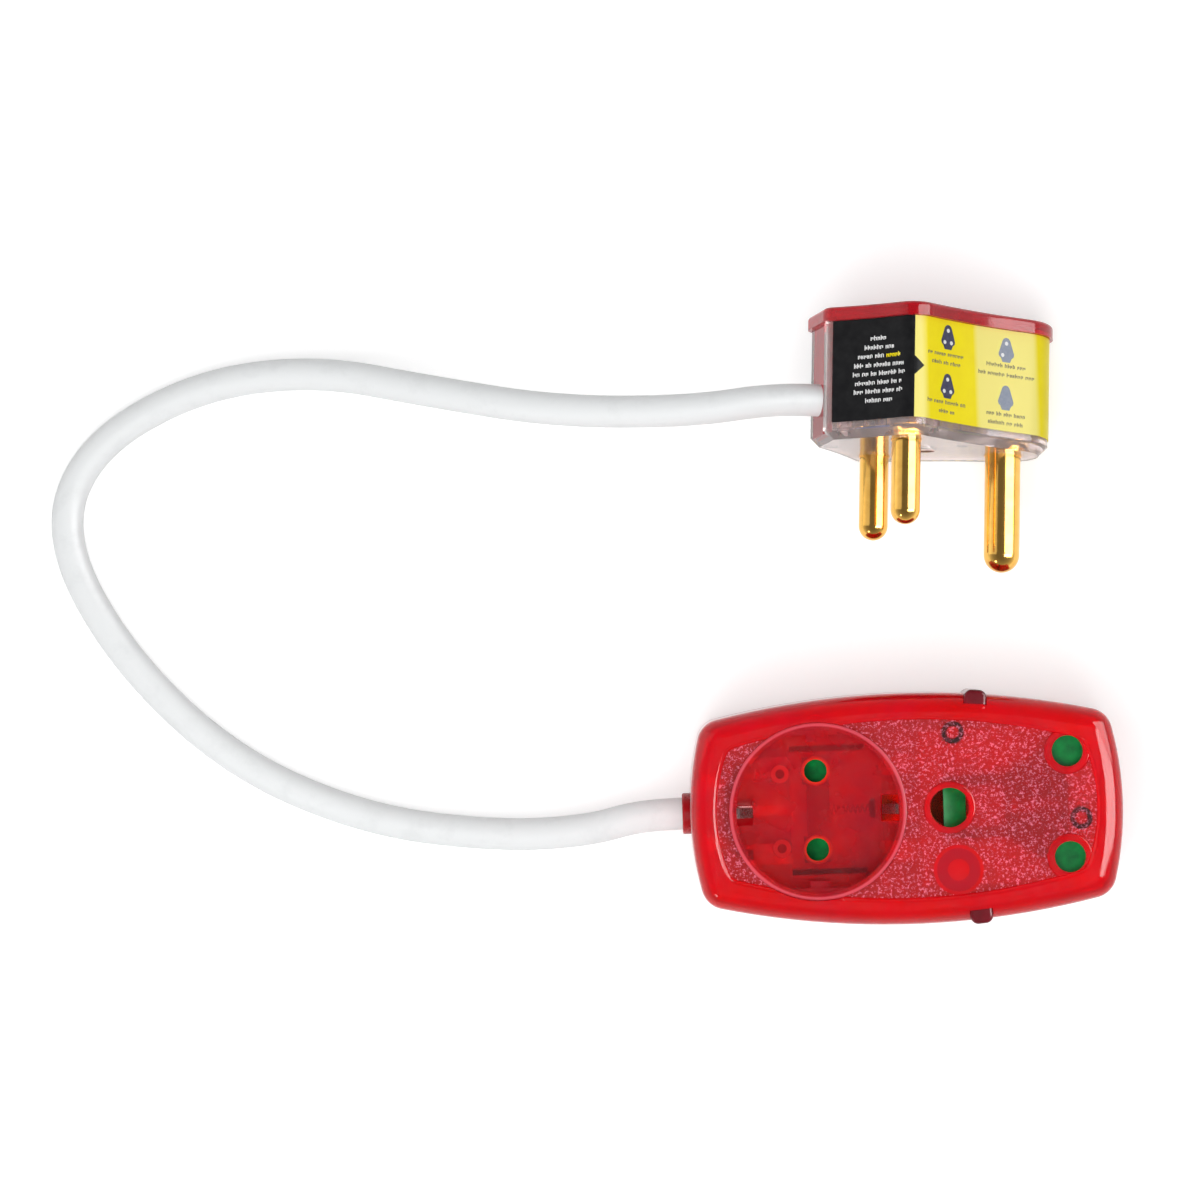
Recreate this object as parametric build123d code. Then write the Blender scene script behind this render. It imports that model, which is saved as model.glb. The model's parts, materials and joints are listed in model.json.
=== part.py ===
from build123d import *
from math import atan2, degrees, radians, tan
import os

# A surge protector lead: a flat coupler with an earthed three pin socket and a round recessed
# socket, a short cord, and a three pin plug that holds the surge arresters and the lamps.
# Lengths in mm. The coupler stands on z = 0 with its length along X and its face up.

# Clearances, the overrun of cuts, and the turn in degrees that keeps seams off the axes
fit_gap = 0.05
slide_gap = 0.3
overrun = 1.0
seam_turn = 45.0

# Coupler body
body_length = 104.0
body_width = 55.6
body_height = 42.0
split_height = 21.0
wall = 2.2
corner_setback = 3.2
side_bow = 5.9
corner_radius = 6.0
least_corner_radius = 2.0
floor_round = 3.0
rim_width = 6.4
rim_rise = 1.6
rim_outer_round = 4.6
rim_inner_round = 1.2
panel_corner_radius = 3.0
panel_thickness = 2.2
joint_lip_height = 1.5
panel_height = body_height - rim_rise
panel_underside = panel_height - panel_thickness

# Three pin socket, to the 16 A standard with round pins
phase_pin_radius = 3.53
phase_pin_length = 20.6
phase_pin_pitch = 25.4
earth_pin_radius = 4.355
earth_pin_length = 28.6
earth_pin_distance = 28.58
phase_row_setback = 13.2
phase_row_x = body_length / 2 - phase_row_setback
earth_hole_x = phase_row_x - earth_pin_distance
phase_hole_radius = 3.75
earth_hole_radius = 4.75
phase_collar_radius = 5.6
earth_collar_radius = 6.3
collar_rise = 0.8
collar_round = 0.5
phase_hole_y = phase_pin_pitch / 2

# Blank roundel on the panel
roundel_offset = 1.68
roundel_x = earth_hole_x + roundel_offset
roundel_y = -15.0
roundel_radius = 6.0
roundel_line = 0.8
roundel_rise = 0.5
roundel_dome_radius = 2.6

# Round recessed socket for the two pin plug with side earth clips
recess_setback = 30.6
recess_x = recess_setback - body_length / 2
recess_depth = 17.5
recess_radius = 19.6
recess_wall = 1.3
recess_lip_radius = 21.4
recess_lip_rise = 0.9
recess_flat_distance = 36.8
recess_floor_thickness = 2.0
guide_rib_width = 4.5
guide_rib_depth = 1.6
guide_rib_drop = 2.4
round_pin_pitch = 19.0
round_pin_hole_radius = 2.75
clip_slot_width = 6.4
clip_slot_drop = 3.0
peg_ring_offset = 8.6
peg_ring_x = recess_x - peg_ring_offset
peg_ring_y = 9.0
peg_ring_radius = 2.1
peg_ring_bore = 1.1
peg_ring_rise = 0.8
recess_top = panel_height + recess_lip_rise
recess_floor = recess_top - recess_depth
recess_underside = recess_floor - recess_floor_thickness
round_pin_y = round_pin_pitch / 2

# Screws that hold the two halves of the coupler, and the pillars that take them
side_pillar_offset = 1.28
side_pillar_setback = 9.8
end_pillar_offset = 3.0
end_pillar_y = -3.5
pillar_places = (
    (earth_hole_x + side_pillar_offset, body_width / 2 - side_pillar_setback),
    (phase_row_x + end_pillar_offset, end_pillar_y),
)
pillar_radius = 2.7
pillar_bore = 1.5
boss_radius = 3.6
boss_bore = 1.7
screw_head_radius = 2.6
screw_head_height = 1.8
screw_head_sink = 4.0
screw_slot_share = 0.25
housing_screw_length = 26.0
counterbore_radius = 2.9

# Snap clips across the joint of the halves
snap_x = 17.2
snap_width = 5.5
snap_proud = 1.0
snap_depth = 1.4
snap_hook_depth = 3.0
snap_hook_height = 3.4
snap_drop = 0.6
snap_top = body_height - snap_drop
snap_bottom = 8.0
snap_round = 0.8
snap_corner = 1.9

# Shutter of the three pin socket, pushed aside by the longer earth pin
shutter_thickness = 2.8
shutter_travel = 8.8
ramp_start = 1.4
ramp_run = 5.4
ramp_lip = 0.5
shutter_rail = 2.5
shutter_pad_radius = 4.2
shutter_web = 1.0
shutter_arm_width = 5.4
shutter_frame_thickness = 1.8
shutter_frame_setback = 3.2
shutter_frame_end = 6.6
shutter_frame_side = 5.9
shutter_frame_half_width = phase_hole_y + shutter_frame_side
shutter_frame_left = recess_x + recess_lip_radius + shutter_frame_setback
shutter_frame_right = phase_row_x + shutter_frame_end
shutter_frame_rail = 1.2
shutter_spring_radius = 1.5
shutter_spring_wire = 0.2
shutter_spring_solid = 2.6
shutter_post_length = 1.0
shutter_window_gap = 0.3
shutter_top = panel_underside - slide_gap
shutter_bottom = shutter_top - shutter_thickness
shutter_frame_top = shutter_bottom - slide_gap
shutter_frame_bottom = shutter_frame_top - shutter_frame_thickness

# Shutter of the recessed socket
round_shutter_thickness = 2.6
round_shutter_travel = 6.2
round_shutter_pad = 3.2
round_shutter_bar = 5.4
round_shutter_lip = 0.5
round_plate_thickness = 1.4
round_plate_short_reach = 6.2
round_plate_long_reach = 16.0
round_plate_left = recess_x - round_plate_short_reach
round_plate_right = recess_x + round_plate_long_reach
round_plate_half_width = 15.6
round_plate_rail = 1.4
round_spring_radius = 1.1
round_spring_wire = 0.2
round_spring_solid = 3.4
round_stop_length = 1.4
round_stop_half_width = 2.2
round_shutter_top = recess_underside - slide_gap
round_shutter_bottom = round_shutter_top - round_shutter_thickness
round_plate_top = round_shutter_bottom - slide_gap
round_plate_bottom = round_plate_top - round_plate_thickness
round_stop_x = recess_x + round_shutter_pad + round_shutter_travel + round_spring_solid

# Contacts and bars
contact_gap = 0.09
contact_wall = 1.1
contact_slit_width = 0.8
contact_slit_depth_share = 0.6
contact_floor = 1.2
round_pin_radius = 2.4
bar_thickness = 1.5
bar_width = 5.0
bar_end_radius = 5.5
bar_row_y = 10.5
earth_bar_width = 8.0
strap_bottom = 7.5
strap_thickness = 0.8
strap_width = 2.4
strap_reach = 19.5
strap_bulge = 3.2
strap_bulge_height = 9.0
strap_bulge_drop = 4.0
phase_bar_bottom = 13.5
terminal_setback = 18.0
terminal_x = terminal_setback - body_length / 2
terminal_overhang = 4.6
terminal_screw_radius = 1.5
terminal_head_radius = 2.3
terminal_head_height = 1.5
support_radius = 3.2
support_rib_length = 2.0
earth_bar_bottom = strap_bottom + strap_thickness
earth_socket_bottom = earth_bar_bottom + bar_thickness
phase_socket_bottom = phase_bar_bottom + bar_thickness
socket_top = shutter_frame_bottom - slide_gap
round_contact_top = round_plate_bottom - slide_gap
round_contact_bottom = 4.6

# Cord, its gland and its clamp in the coupler
cord_radius = 3.9
cord_height = 14.0
gland_radius = 5.0
gland_proud = 1.8
gland_flange_radius = 6.6
gland_flange_thickness = 1.1
gland_flange_setback = 1.0
gland_round = 0.5
cord_tail_reach = 8.6
cord_tail_end = cord_tail_reach - body_length / 2
clamp_setback = 6.6
clamp_x = clamp_setback - body_length / 2
clamp_width = 3.2
clamp_half_span = 9.6
clamp_rise = 6.0
clamp_screw_y = 7.2
clamp_post_radius = 2.2
clamp_screw_radius = 1.2
clamp_screw_length = 9.0
clamp_head_radius = 2.0
clamp_head_height = 1.2
saddle_half_width = 4.6
core_radius = 1.25
core_offset = 1.9
core_spread = 4.6
core_bend = 1.75

# Plug
plug_height = 32.0
plug_wall = 2.0
plug_floor = 2.6
plug_chamfer = 2.2
lobe_radius = 10.8
lobe_join_angle = 75.0
ridge_x = -1.5
ridge_half_width = 24.7
ridge_round = 5.0
flank_hollow = 1.3
tail_flank_hollow = 0.8
tail_x = -18.3
tail_half_width = 7.0
tail_round = 2.6
cap_lip = 1.0
cap_height = 3.4
cap_top = 1.8
cap_round = 1.1
cap_spigot_depth = 1.8
cap_spigot_wall = 1.2
label_thickness = 0.2
label_bottom = 3.8
label_gap = 0.1
label_setback = 0.9
label_start_x = tail_x + label_setback
plug_cord_height = 10.4
plug_slot_half_width = 4.05
tongue_thickness = 2.0
terminal_block_height = 9.0
terminal_block_extra = 1.0
pin_collar_extra = 0.2
pin_collar_proud = 0.3
block_screw_radius = 1.4
block_screw_head_radius = 2.1
block_screw_head_height = 1.4
block_screw_depth = 5.0
board_height = 17.0
board_thickness = 1.2
board_margin = 1.5
board_left = -9.8
standoff_radius = 1.4
standoff_shares = ((0.165, 0.7), (0.165, -0.7), (0.56, -0.275))
varistor_radius = 4.8
varistor_thickness = 3.6
varistor_round = 0.9
varistor_foot_width = 1.8
varistor_foot_length = 3.6
varistor_shares = ((0.035, 0.26), (0.035, -0.26), (0.7, 0.0))
lamp_radius = 1.5
lamp_height = 8.0
lamp_flange = 0.5
lamp_flange_height = 1.0
lamp_shares = ((1.1, 0.0), (-0.126, 0.55), (-0.126, -0.55))
fuse_radius = 1.7
fuse_length = 9.0
fuse_round = 0.55
fuse_x = 8.6
fuse_y = 11.6
cap_screw_x = 8.4
cap_pillar_radius = 2.6
cap_boss_radius = 3.3
cap_boss_height = 5.4
cap_screw_length = 16.0
plug_clamp_setback = 5.1
plug_clamp_x = tail_x + plug_clamp_setback
plug_clamp_width = 3.0
plug_clamp_half_span = 8.6
plug_clamp_rise = 4.7
plug_clamp_screw_y = 5.7
plug_clamp_screw_length = 8.0
plug_clamp_post_radius = 1.9
plug_clamp_head_radius = 1.7
plug_clamp_screw_radius = 0.9
plug_tail_reach = 7.9
plug_tail_end = tail_x + plug_tail_reach
saddle_floor = 1.6
earth_core_y = 5.7
earth_core_rise = 2.5
earth_core_x = 16.0

# Where the plug lies: the middle of its two phase pins on the pin face, and its turns in degrees
plug_x = -1.0
plug_y = 86.8
plug_yaw = -2.9
plug_pin_rise = 9.2
plug_dip = 16.0

# Cord route between the plug and the coupler: its first and last runs leave square
cord_exit_run = 10.0
cord_route = (
    (-49.4, 97.0, 34.6),
    (-81.6, 98.2, 27.6),
    (-110.8, 104.0, 18.0),
    (-140.3, 110.6, 9.0),
    (-170.0, 107.3, 4.6),
    (-196.0, 92.7, 4.2),
    (-203.6, 71.4, 4.2),
    (-188.9, 42.0, 4.2),
    (-163.0, 15.8, 4.2),
    (-130.6, 0.6, 4.4),
    (-98.0, -4.3, 6.6),
    (-76.0, -3.4, 11.2),
)


def slab(plan, bottom, top):
    """A plan in XY, raised from one height to another."""
    return extrude(Pos(0, 0, bottom) * plan, amount=top - bottom)


def block(x0, x1, y0, y1, bottom, top):
    """A box between six planes."""
    corner = (Align.MIN, Align.MIN, Align.MIN)
    return Pos(x0, y0, bottom) * Box(x1 - x0, y1 - y0, top - bottom, align=corner)


def rod(radius, bottom, top, x=0, y=0):
    """An upright cylinder."""
    foot = (Align.CENTER, Align.CENTER, Align.MIN)
    return Pos(x, y, bottom) * Rot(Z=seam_turn) * Cylinder(radius, top - bottom, align=foot)


def lying_rod(radius, x0, x1, y=0, z=0):
    """A cylinder along X."""
    foot = (Align.CENTER, Align.CENTER, Align.MIN)
    return Pos(x0, y, z) * Rot(Y=90) * Cylinder(radius, x1 - x0, align=foot)


def sheath(points, radius, bends):
    """A round tube along straight runs and tangent arcs."""
    path = FilletPolyline(*points, radius=bends) if bends else Polyline(*points)
    return sweep((path ^ 0) * Circle(radius), path=path)


def bend_radii(points):
    """The largest even arc at each corner of a route: 0.45 of its shorter run."""
    run_share = 0.45
    spots = [Vector(*point) for point in points]
    radii = []
    for before, here, after in zip(spots, spots[1:], spots[2:]):
        arriving = here - before
        leaving = after - here
        half_turn = radians(arriving.get_angle(leaving)) / 2
        shorter = min(arriving.length, leaving.length)
        radii.append(run_share * shorter / tan(half_turn))
    return radii


def screw(head_radius, head_height, shank_radius, length):
    """A pan head screw with a cross slot, its head on z = 0 and its shank pointing down."""
    body = rod(head_radius, 0, head_height) + rod(shank_radius, -length, 0)
    slot_bottom = head_height / 2
    slot_half_width = screw_slot_share * shank_radius
    for slot_half_x, slot_half_y in ((1, 0), (0, 1)):
        half_x = max(slot_half_x * shank_radius, slot_half_width)
        half_y = max(slot_half_y * shank_radius, slot_half_width)
        body -= block(-half_x, half_x, -half_y, half_y, slot_bottom, head_height + overrun)
    return body


# Coupler housing

def barrel(inset=0, radius=corner_radius):
    """Plan of the body: two bowed sides and two bowed ends, drawn in by inset."""
    half_length = body_length / 2 - inset
    half_width = body_width / 2 - inset
    x = half_length - corner_setback
    y = half_width - side_bow
    outline = Curve() + [
        ThreePointArc((-x, y), (0, half_width), (x, y)),
        ThreePointArc((x, y), (half_length, 0), (x, -y)),
        ThreePointArc((x, -y), (0, -half_width), (-x, -y)),
        ThreePointArc((-x, -y), (-half_length, 0), (-x, y)),
    ]
    plan = make_face(outline)
    return fillet(plan.vertices(), radius)


def inner_radius(inset):
    """Corner radius of a wall's inner face."""
    return max(corner_radius - inset, least_corner_radius)


def side_place(side):
    """Location of a snap clip: its outer wall, with -Y pointing out of the body for side -1."""
    half_width = body_width / 2
    chord = body_length / 2 - corner_setback
    bow_radius = (chord ** 2 + side_bow ** 2) / (2 * side_bow)
    drop = bow_radius - (bow_radius ** 2 - snap_x ** 2) ** 0.5
    lean = degrees(atan2(snap_x, bow_radius - drop))
    return Pos(snap_x, side * (half_width - drop), 0) * Rot(Z=-side * lean)


def snap_clip(side, gap=0):
    """A clip that bridges the halves, hooked into the rim above and the tray below."""
    half_width = snap_width / 2 + gap
    outer = side * (snap_proud + gap)
    inner = -side * (snap_depth + gap)
    hook = -side * (snap_hook_depth + gap)
    low = snap_bottom - gap
    high = snap_top + gap
    near, far = sorted((outer, inner))
    clip = block(-half_width, half_width, near, far, low, high)
    near, far = sorted((outer, hook))
    clip += block(-half_width, half_width, near, far, high - snap_hook_height - 2 * gap, high)
    near, far = sorted((0, hook))
    clip += block(-half_width, half_width, near, far, low, low + snap_hook_height + 2 * gap)
    upright = clip.edges().filter_by(Axis.Z).sort_by(Axis.Y)
    clip = fillet(upright[-2:] if side > 0 else upright[:2], snap_corner + gap)
    if not gap:
        clip = fillet(clip.edges().group_by(Axis.Z)[-1], snap_round)
    return side_place(side) * clip


def pin_holes():
    """Centre, hole radius and collar radius of the three pin holes."""
    return (
        (earth_hole_x, 0, earth_hole_radius, earth_collar_radius),
        (phase_row_x, phase_hole_y, phase_hole_radius, phase_collar_radius),
        (phase_row_x, -phase_hole_y, phase_hole_radius, phase_collar_radius),
    )


def upper_housing():
    shell = slab(barrel(), split_height, body_height)
    shell -= slab(barrel(rim_width, panel_corner_radius), panel_height, body_height + overrun)
    crown = shell.faces().sort_by(Axis.Z)[-1]
    shell = fillet(crown.inner_wires()[0].edges(), rim_inner_round)
    crown = shell.faces().sort_by(Axis.Z)[-1]
    shell = fillet(crown.outer_wire().edges(), rim_outer_round)
    shell -= slab(barrel(wall, inner_radius(wall)), split_height - overrun, panel_underside)
    lip_inset = wall / 2 - fit_gap
    rebate_top = split_height + joint_lip_height + fit_gap
    shell -= slab(barrel(lip_inset, inner_radius(lip_inset)), split_height - overrun, rebate_top)
    for x, y, hole, collar in pin_holes():
        ring = rod(collar, panel_height, panel_height + collar_rise, x, y)
        shell += fillet(ring.edges().group_by(Axis.Z)[-1], collar_round)
        shell -= rod(hole, split_height, body_height + overrun, x, y)
    ring_top = panel_height + roundel_rise
    shell += rod(roundel_radius, panel_height, ring_top, roundel_x, roundel_y)
    inside = roundel_radius - roundel_line
    shell -= rod(inside, panel_height, body_height, roundel_x, roundel_y)
    shell += rod(roundel_dome_radius, panel_height - wall / 2, ring_top, roundel_x, roundel_y)
    for x, y in pillar_places:
        pillar = rod(pillar_radius, split_height, panel_underside, x, y)
        shell += pillar - rod(pillar_bore, split_height - overrun, panel_underside, x, y)
    cup_hole = recess_radius + recess_wall + fit_gap
    shell -= rod(cup_hole, split_height - overrun, body_height + overrun, recess_x)
    lip_room = recess_lip_radius + fit_gap
    shell -= rod(lip_room, panel_height, body_height + overrun, recess_x)
    for side in (-1, 1):
        shell -= snap_clip(side, fit_gap)
    return shell


def lower_housing():
    tray = slab(barrel(), 0, split_height)
    tray = fillet(tray.edges().group_by(Axis.Z)[0], floor_round)
    lip_inset = wall / 2
    tray += slab(barrel(lip_inset, inner_radius(lip_inset)), split_height,
                 split_height + joint_lip_height)
    tray -= slab(barrel(wall, inner_radius(wall)), wall, body_height)
    for x, y in pillar_places:
        tray += rod(boss_radius, wall, split_height, x, y)
        tray -= rod(boss_bore, -overrun, body_height, x, y)
        tray -= rod(counterbore_radius, -overrun, screw_head_sink, x, y)
    for place in bar_supports():
        tray += rod(support_radius, wall, *place)
    for x in strap_supports():
        half = support_rib_length / 2
        tray += block(x - half, x + half, -strap_width / 2, strap_width / 2, wall, strap_bottom)
    for side in (-1, 1):
        post_y = side * clamp_screw_y
        tray += rod(clamp_post_radius, wall, cord_height, clamp_x, post_y)
        tray -= rod(clamp_screw_radius + fit_gap, cord_height - clamp_screw_length,
                    split_height, clamp_x, post_y)
        bore = terminal_screw_radius + fit_gap
        tray -= rod(bore, wall, split_height, terminal_x, side * bar_row_y)
        tray -= snap_clip(side, fit_gap)
    half = clamp_width / 2
    saddle = block(clamp_x - half, clamp_x + half, -saddle_half_width, saddle_half_width,
                   wall, cord_height)
    tray += saddle
    tray -= lying_rod(cord_radius, clamp_x - half - overrun, clamp_x + half + overrun,
                      z=cord_height)
    tray -= lying_rod(gland_radius + fit_gap, -body_length / 2 - overrun,
                      -body_length / 2 + 2 * wall, z=cord_height)
    return tray


def bar_supports():
    """Top height, x and y of the posts under the bars."""
    posts = [(earth_bar_bottom, earth_hole_x, 0)]
    for side in (-1, 1):
        posts.append((phase_bar_bottom, phase_row_x, side * phase_hole_y))
        posts.append((phase_bar_bottom, terminal_x, side * bar_row_y))
    return posts


def strap_supports():
    """Places along X of the two ribs under the earth strap."""
    return (recess_x - recess_radius / 2, recess_x + recess_radius / 2)


def snap_clips():
    return Compound(children=[snap_clip(-1), snap_clip(1)])


def housing_screws():
    screws = []
    for x, y in pillar_places:
        turned = Pos(x, y, screw_head_sink) * Rot(X=180)
        screws.append(turned * screw(screw_head_radius, screw_head_height,
                                     pillar_bore - fit_gap, housing_screw_length))
    return Compound(children=screws)


# Recessed socket

def recess_plan(radius, half_flat):
    """A circle with two flats, as the recess is seen from above."""
    disc = Rot(Z=seam_turn) * Circle(radius)
    return Pos(recess_x, 0) * (disc & Rectangle(2 * radius, 2 * half_flat))


def socket_recess():
    outer = recess_radius + recess_wall
    cup = rod(outer, recess_underside, recess_top, recess_x)
    lip = rod(recess_lip_radius, panel_height, recess_top, recess_x)
    cup += fillet(lip.edges().group_by(Axis.Z)[-1], recess_lip_rise / 2)
    half_flat = recess_flat_distance / 2
    cup -= slab(recess_plan(recess_radius, half_flat), recess_floor,
                recess_top - recess_lip_rise - rim_rise)
    cup -= rod(recess_radius, recess_top - recess_lip_rise - rim_rise, recess_top + overrun,
               recess_x)
    rib_edge = half_flat - guide_rib_depth
    rib_top = recess_top - guide_rib_drop - rim_rise
    for side in (-1, 1):
        near, far = sorted((side * rib_edge, side * half_flat))
        half = guide_rib_width / 2
        cup += block(recess_x - half, recess_x + half, near, far, recess_floor, rib_top)
        cup -= rod(round_pin_hole_radius, recess_underside - overrun, recess_floor + overrun,
                   recess_x, side * round_pin_y)
        ring = rod(peg_ring_radius, recess_floor, recess_floor + peg_ring_rise,
                   peg_ring_x, side * peg_ring_y)
        cup += ring - rod(peg_ring_bore, recess_floor, recess_top, peg_ring_x, side * peg_ring_y)
        slot_inner = strap_reach - strap_bulge - strap_thickness
        near, far = sorted((recess_x + side * slot_inner, recess_x + side * (outer + overrun)))
        half = clip_slot_width / 2
        cup -= block(near, far, -half, half, recess_underside - overrun,
                     panel_height - clip_slot_drop)
    return cup


def earth_strap():
    """A spring strap under the recess, its two ends bulging in through the slots."""
    top = panel_height - clip_slot_drop - strap_thickness
    bulge_z = top - strap_bulge_drop
    foot_z = bulge_z - strap_bulge_height
    legs = []
    for side in (-1, 1):
        edge = recess_x + side * strap_reach
        bulge = recess_x + side * (strap_reach - strap_bulge)
        line = (
            (recess_x, strap_bottom),
            (edge, strap_bottom),
            (edge, foot_z),
            (bulge, bulge_z),
            (edge, top),
        )
        back = strap_thickness
        inner = (
            (edge - side * back, top),
            (bulge - side * back, bulge_z),
            (edge - side * back, foot_z),
            (edge - side * back, strap_bottom + back),
            (recess_x, strap_bottom + back),
        )
        profile = make_face(Polyline(*line, *inner, close=True))
        legs.append(extrude(Plane.XZ * profile, amount=strap_width / 2, both=True))
    return legs[0] + legs[1]


# Shutters

def shutter():
    """A green slider: its ramp meets the earth pin and its two pads close the phase holes."""
    left = earth_hole_x - ramp_start
    ramp_end, slot_end = shutter_slot()
    half_slot = earth_hole_radius + slide_gap
    half_stem = half_slot + shutter_rail
    window_left, window_right, window_half = shutter_window()
    right = window_right + shutter_web
    arm_half = shutter_arm_width / 2
    plan = Polyline(
        (left, half_stem),
        (slot_end, half_stem),
        (phase_row_x, phase_hole_y + shutter_pad_radius),
        (phase_row_x, phase_hole_y - shutter_pad_radius),
        (right, arm_half),
        (right, -arm_half),
        (phase_row_x, -phase_hole_y + shutter_pad_radius),
        (phase_row_x, -phase_hole_y - shutter_pad_radius),
        (slot_end, -half_stem),
        (left, -half_stem),
        close=True,
    )
    slider = slab(make_face(plan), shutter_bottom, shutter_top)
    for side in (-1, 1):
        slider += rod(shutter_pad_radius, shutter_bottom, shutter_top,
                      phase_row_x, side * phase_hole_y)
    slider -= block(ramp_end, slot_end, -half_slot, half_slot,
                    shutter_bottom - overrun, shutter_top + overrun)
    slider -= block(window_left, window_right, -window_half, window_half,
                    shutter_bottom - overrun, shutter_top + overrun)
    wedge = Polyline(
        (left, shutter_top),
        (ramp_end, shutter_bottom + ramp_lip),
        (ramp_end + overrun, shutter_bottom + ramp_lip),
        (ramp_end + overrun, shutter_top + overrun),
        (left, shutter_top + overrun),
        close=True,
    )
    slider -= extrude(Plane.XZ * make_face(wedge), amount=half_slot, both=True)
    return slider


def shutter_slot():
    """Ends of the shutter's slot, from the foot of its ramp to clear of the earth pin."""
    left = earth_hole_x - ramp_start + ramp_run
    return left, left + 2 * earth_hole_radius + slide_gap


def shutter_window():
    """Ends and half width of the window that the shutter's spring works in."""
    left = shutter_slot()[1] + shutter_web
    right = shutter_post_end() + shutter_travel + shutter_spring_solid
    return left, right, shutter_spring_radius + slide_gap


def shutter_post_end():
    """Right face of the post that the spring pushes against."""
    return shutter_slot()[1] + shutter_web + shutter_window_gap + shutter_post_length


def shutter_spring():
    _, right, _ = shutter_window()
    left = shutter_post_end()
    middle = (shutter_bottom + shutter_top) / 2
    bore = shutter_spring_radius - 2 * shutter_spring_wire
    outer = shutter_spring_radius - fit_gap
    tube = lying_rod(outer, left, right, z=middle)
    return tube - lying_rod(bore, left - overrun, right + overrun, z=middle)


def shutter_frame():
    """The plate that carries the shutter, with rails as high as the shutter at its sides."""
    half = shutter_frame_half_width
    frame = block(shutter_frame_left, shutter_frame_right, -half, half,
                  shutter_frame_bottom, shutter_frame_top)
    for side in (-1, 1):
        near, far = sorted((side * half, side * (half - shutter_frame_rail)))
        frame += block(shutter_frame_left, shutter_frame_right, near, far,
                       shutter_frame_bottom, shutter_top)
    for x, y, hole, _ in pin_holes():
        frame -= rod(hole, shutter_frame_bottom - overrun, shutter_frame_top + overrun, x, y)
    for x, y in pillar_places:
        frame -= rod(pillar_radius + slide_gap, split_height, body_height, x, y)
    end = shutter_post_end()
    frame += block(end - shutter_post_length, end, -shutter_spring_radius, shutter_spring_radius,
                   shutter_frame_top, shutter_top - slide_gap)
    return frame


def round_shutter():
    """A green bar under the recess whose two ramps meet both pins at once."""
    pad = round_shutter_pad
    left = recess_x - pad
    right = recess_x + pad
    outer = round_pin_y + pad
    bar_left = right - round_shutter_bar
    slider = block(bar_left, right, -outer, outer, round_shutter_bottom, round_shutter_top)
    for side in (-1, 1):
        middle = side * round_pin_y
        slider += block(left, right, middle - pad, middle + pad,
                        round_shutter_bottom, round_shutter_top)
        wedge = Polyline(
            (right, round_shutter_top),
            (left, round_shutter_bottom + round_shutter_lip),
            (left - overrun, round_shutter_bottom + round_shutter_lip),
            (left - overrun, round_shutter_top + overrun),
            (right, round_shutter_top + overrun),
            close=True,
        )
        cut = extrude(Plane.XZ * make_face(wedge), amount=pad - round_shutter_lip, both=True)
        slider -= Pos(0, middle, 0) * cut
    return slider


def round_spring():
    left = recess_x + round_shutter_pad
    middle = (round_shutter_bottom + round_shutter_top) / 2
    bore = round_spring_radius - 2 * round_spring_wire
    tube = lying_rod(round_spring_radius, left, round_stop_x, z=middle)
    return tube - lying_rod(bore, left - overrun, round_stop_x + overrun, z=middle)


def round_shutter_plate():
    """The keeper under the bar, with rails up to the recess and the stop for the spring."""
    half = round_plate_half_width
    plate = block(round_plate_left, round_plate_right, -half, half,
                  round_plate_bottom, round_plate_top)
    for side in (-1, 1):
        near, far = sorted((side * half, side * (half - round_plate_rail)))
        rail_right = recess_x + (recess_radius ** 2 - half ** 2) ** 0.5
        plate += block(round_plate_left, rail_right, near, far,
                       round_plate_bottom, recess_underside)
        plate -= rod(round_pin_hole_radius, round_plate_bottom - overrun,
                     round_plate_top + overrun, recess_x, side * round_pin_y)
    plate += block(round_stop_x, round_stop_x + round_stop_length, -round_stop_half_width,
                   round_stop_half_width, round_plate_bottom, recess_underside)
    return plate


# Contacts, bars and cores in the coupler

def contact(pin_radius, bottom, top, x, y, closed):
    """A split sleeve that grips a pin, with its floor where it stands on a bar."""
    inner = pin_radius + contact_gap
    outer = inner + contact_wall
    sleeve = rod(outer, bottom, top, x, y)
    start = bottom + contact_floor if closed else bottom - overrun
    sleeve -= rod(inner, start, top + overrun, x, y)
    slit_bottom = top - contact_slit_depth_share * (top - bottom)
    half = contact_slit_width / 2
    reach = outer + overrun
    sleeve -= block(x - half, x + half, y - reach, y + reach, slit_bottom, top + overrun)
    return sleeve


def phase_socket(side):
    return contact(phase_pin_radius, phase_socket_bottom, socket_top,
                   phase_row_x, side * phase_hole_y, closed=True)


def earth_socket():
    return contact(earth_pin_radius, earth_socket_bottom, socket_top, earth_hole_x, 0,
                   closed=True)


def round_contact(side):
    return contact(round_pin_radius, round_contact_bottom, round_contact_top,
                   recess_x, side * round_pin_y, closed=False)


def phase_bar(side):
    """A flat bar from the terminal, round the recess's contact, to the three pin contact."""
    row = side * bar_row_y
    half = bar_width / 2
    top = phase_bar_bottom + bar_thickness
    bar = block(terminal_x - terminal_overhang, phase_row_x, row - half, row + half,
                phase_bar_bottom, top)
    bar += rod(bar_end_radius, phase_bar_bottom, top, phase_row_x, side * phase_hole_y)
    bar += rod(bar_end_radius, phase_bar_bottom, top, recess_x, side * round_pin_y)
    sleeve = round_pin_radius + contact_gap + contact_wall
    bar -= rod(sleeve, phase_bar_bottom - overrun, top + overrun, recess_x, side * round_pin_y)
    bar -= rod(terminal_screw_radius + fit_gap, phase_bar_bottom - overrun, top + overrun,
               terminal_x, row)
    return bar


def earth_bar():
    """The bar on top of the earth strap that carries the earth contact."""
    half = earth_bar_width / 2
    top = earth_bar_bottom + bar_thickness
    bar = block(recess_x, earth_hole_x, -half, half, earth_bar_bottom, top)
    bar += rod(bar_end_radius, earth_bar_bottom, top, earth_hole_x)
    return bar - strap_leg_room()


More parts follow.
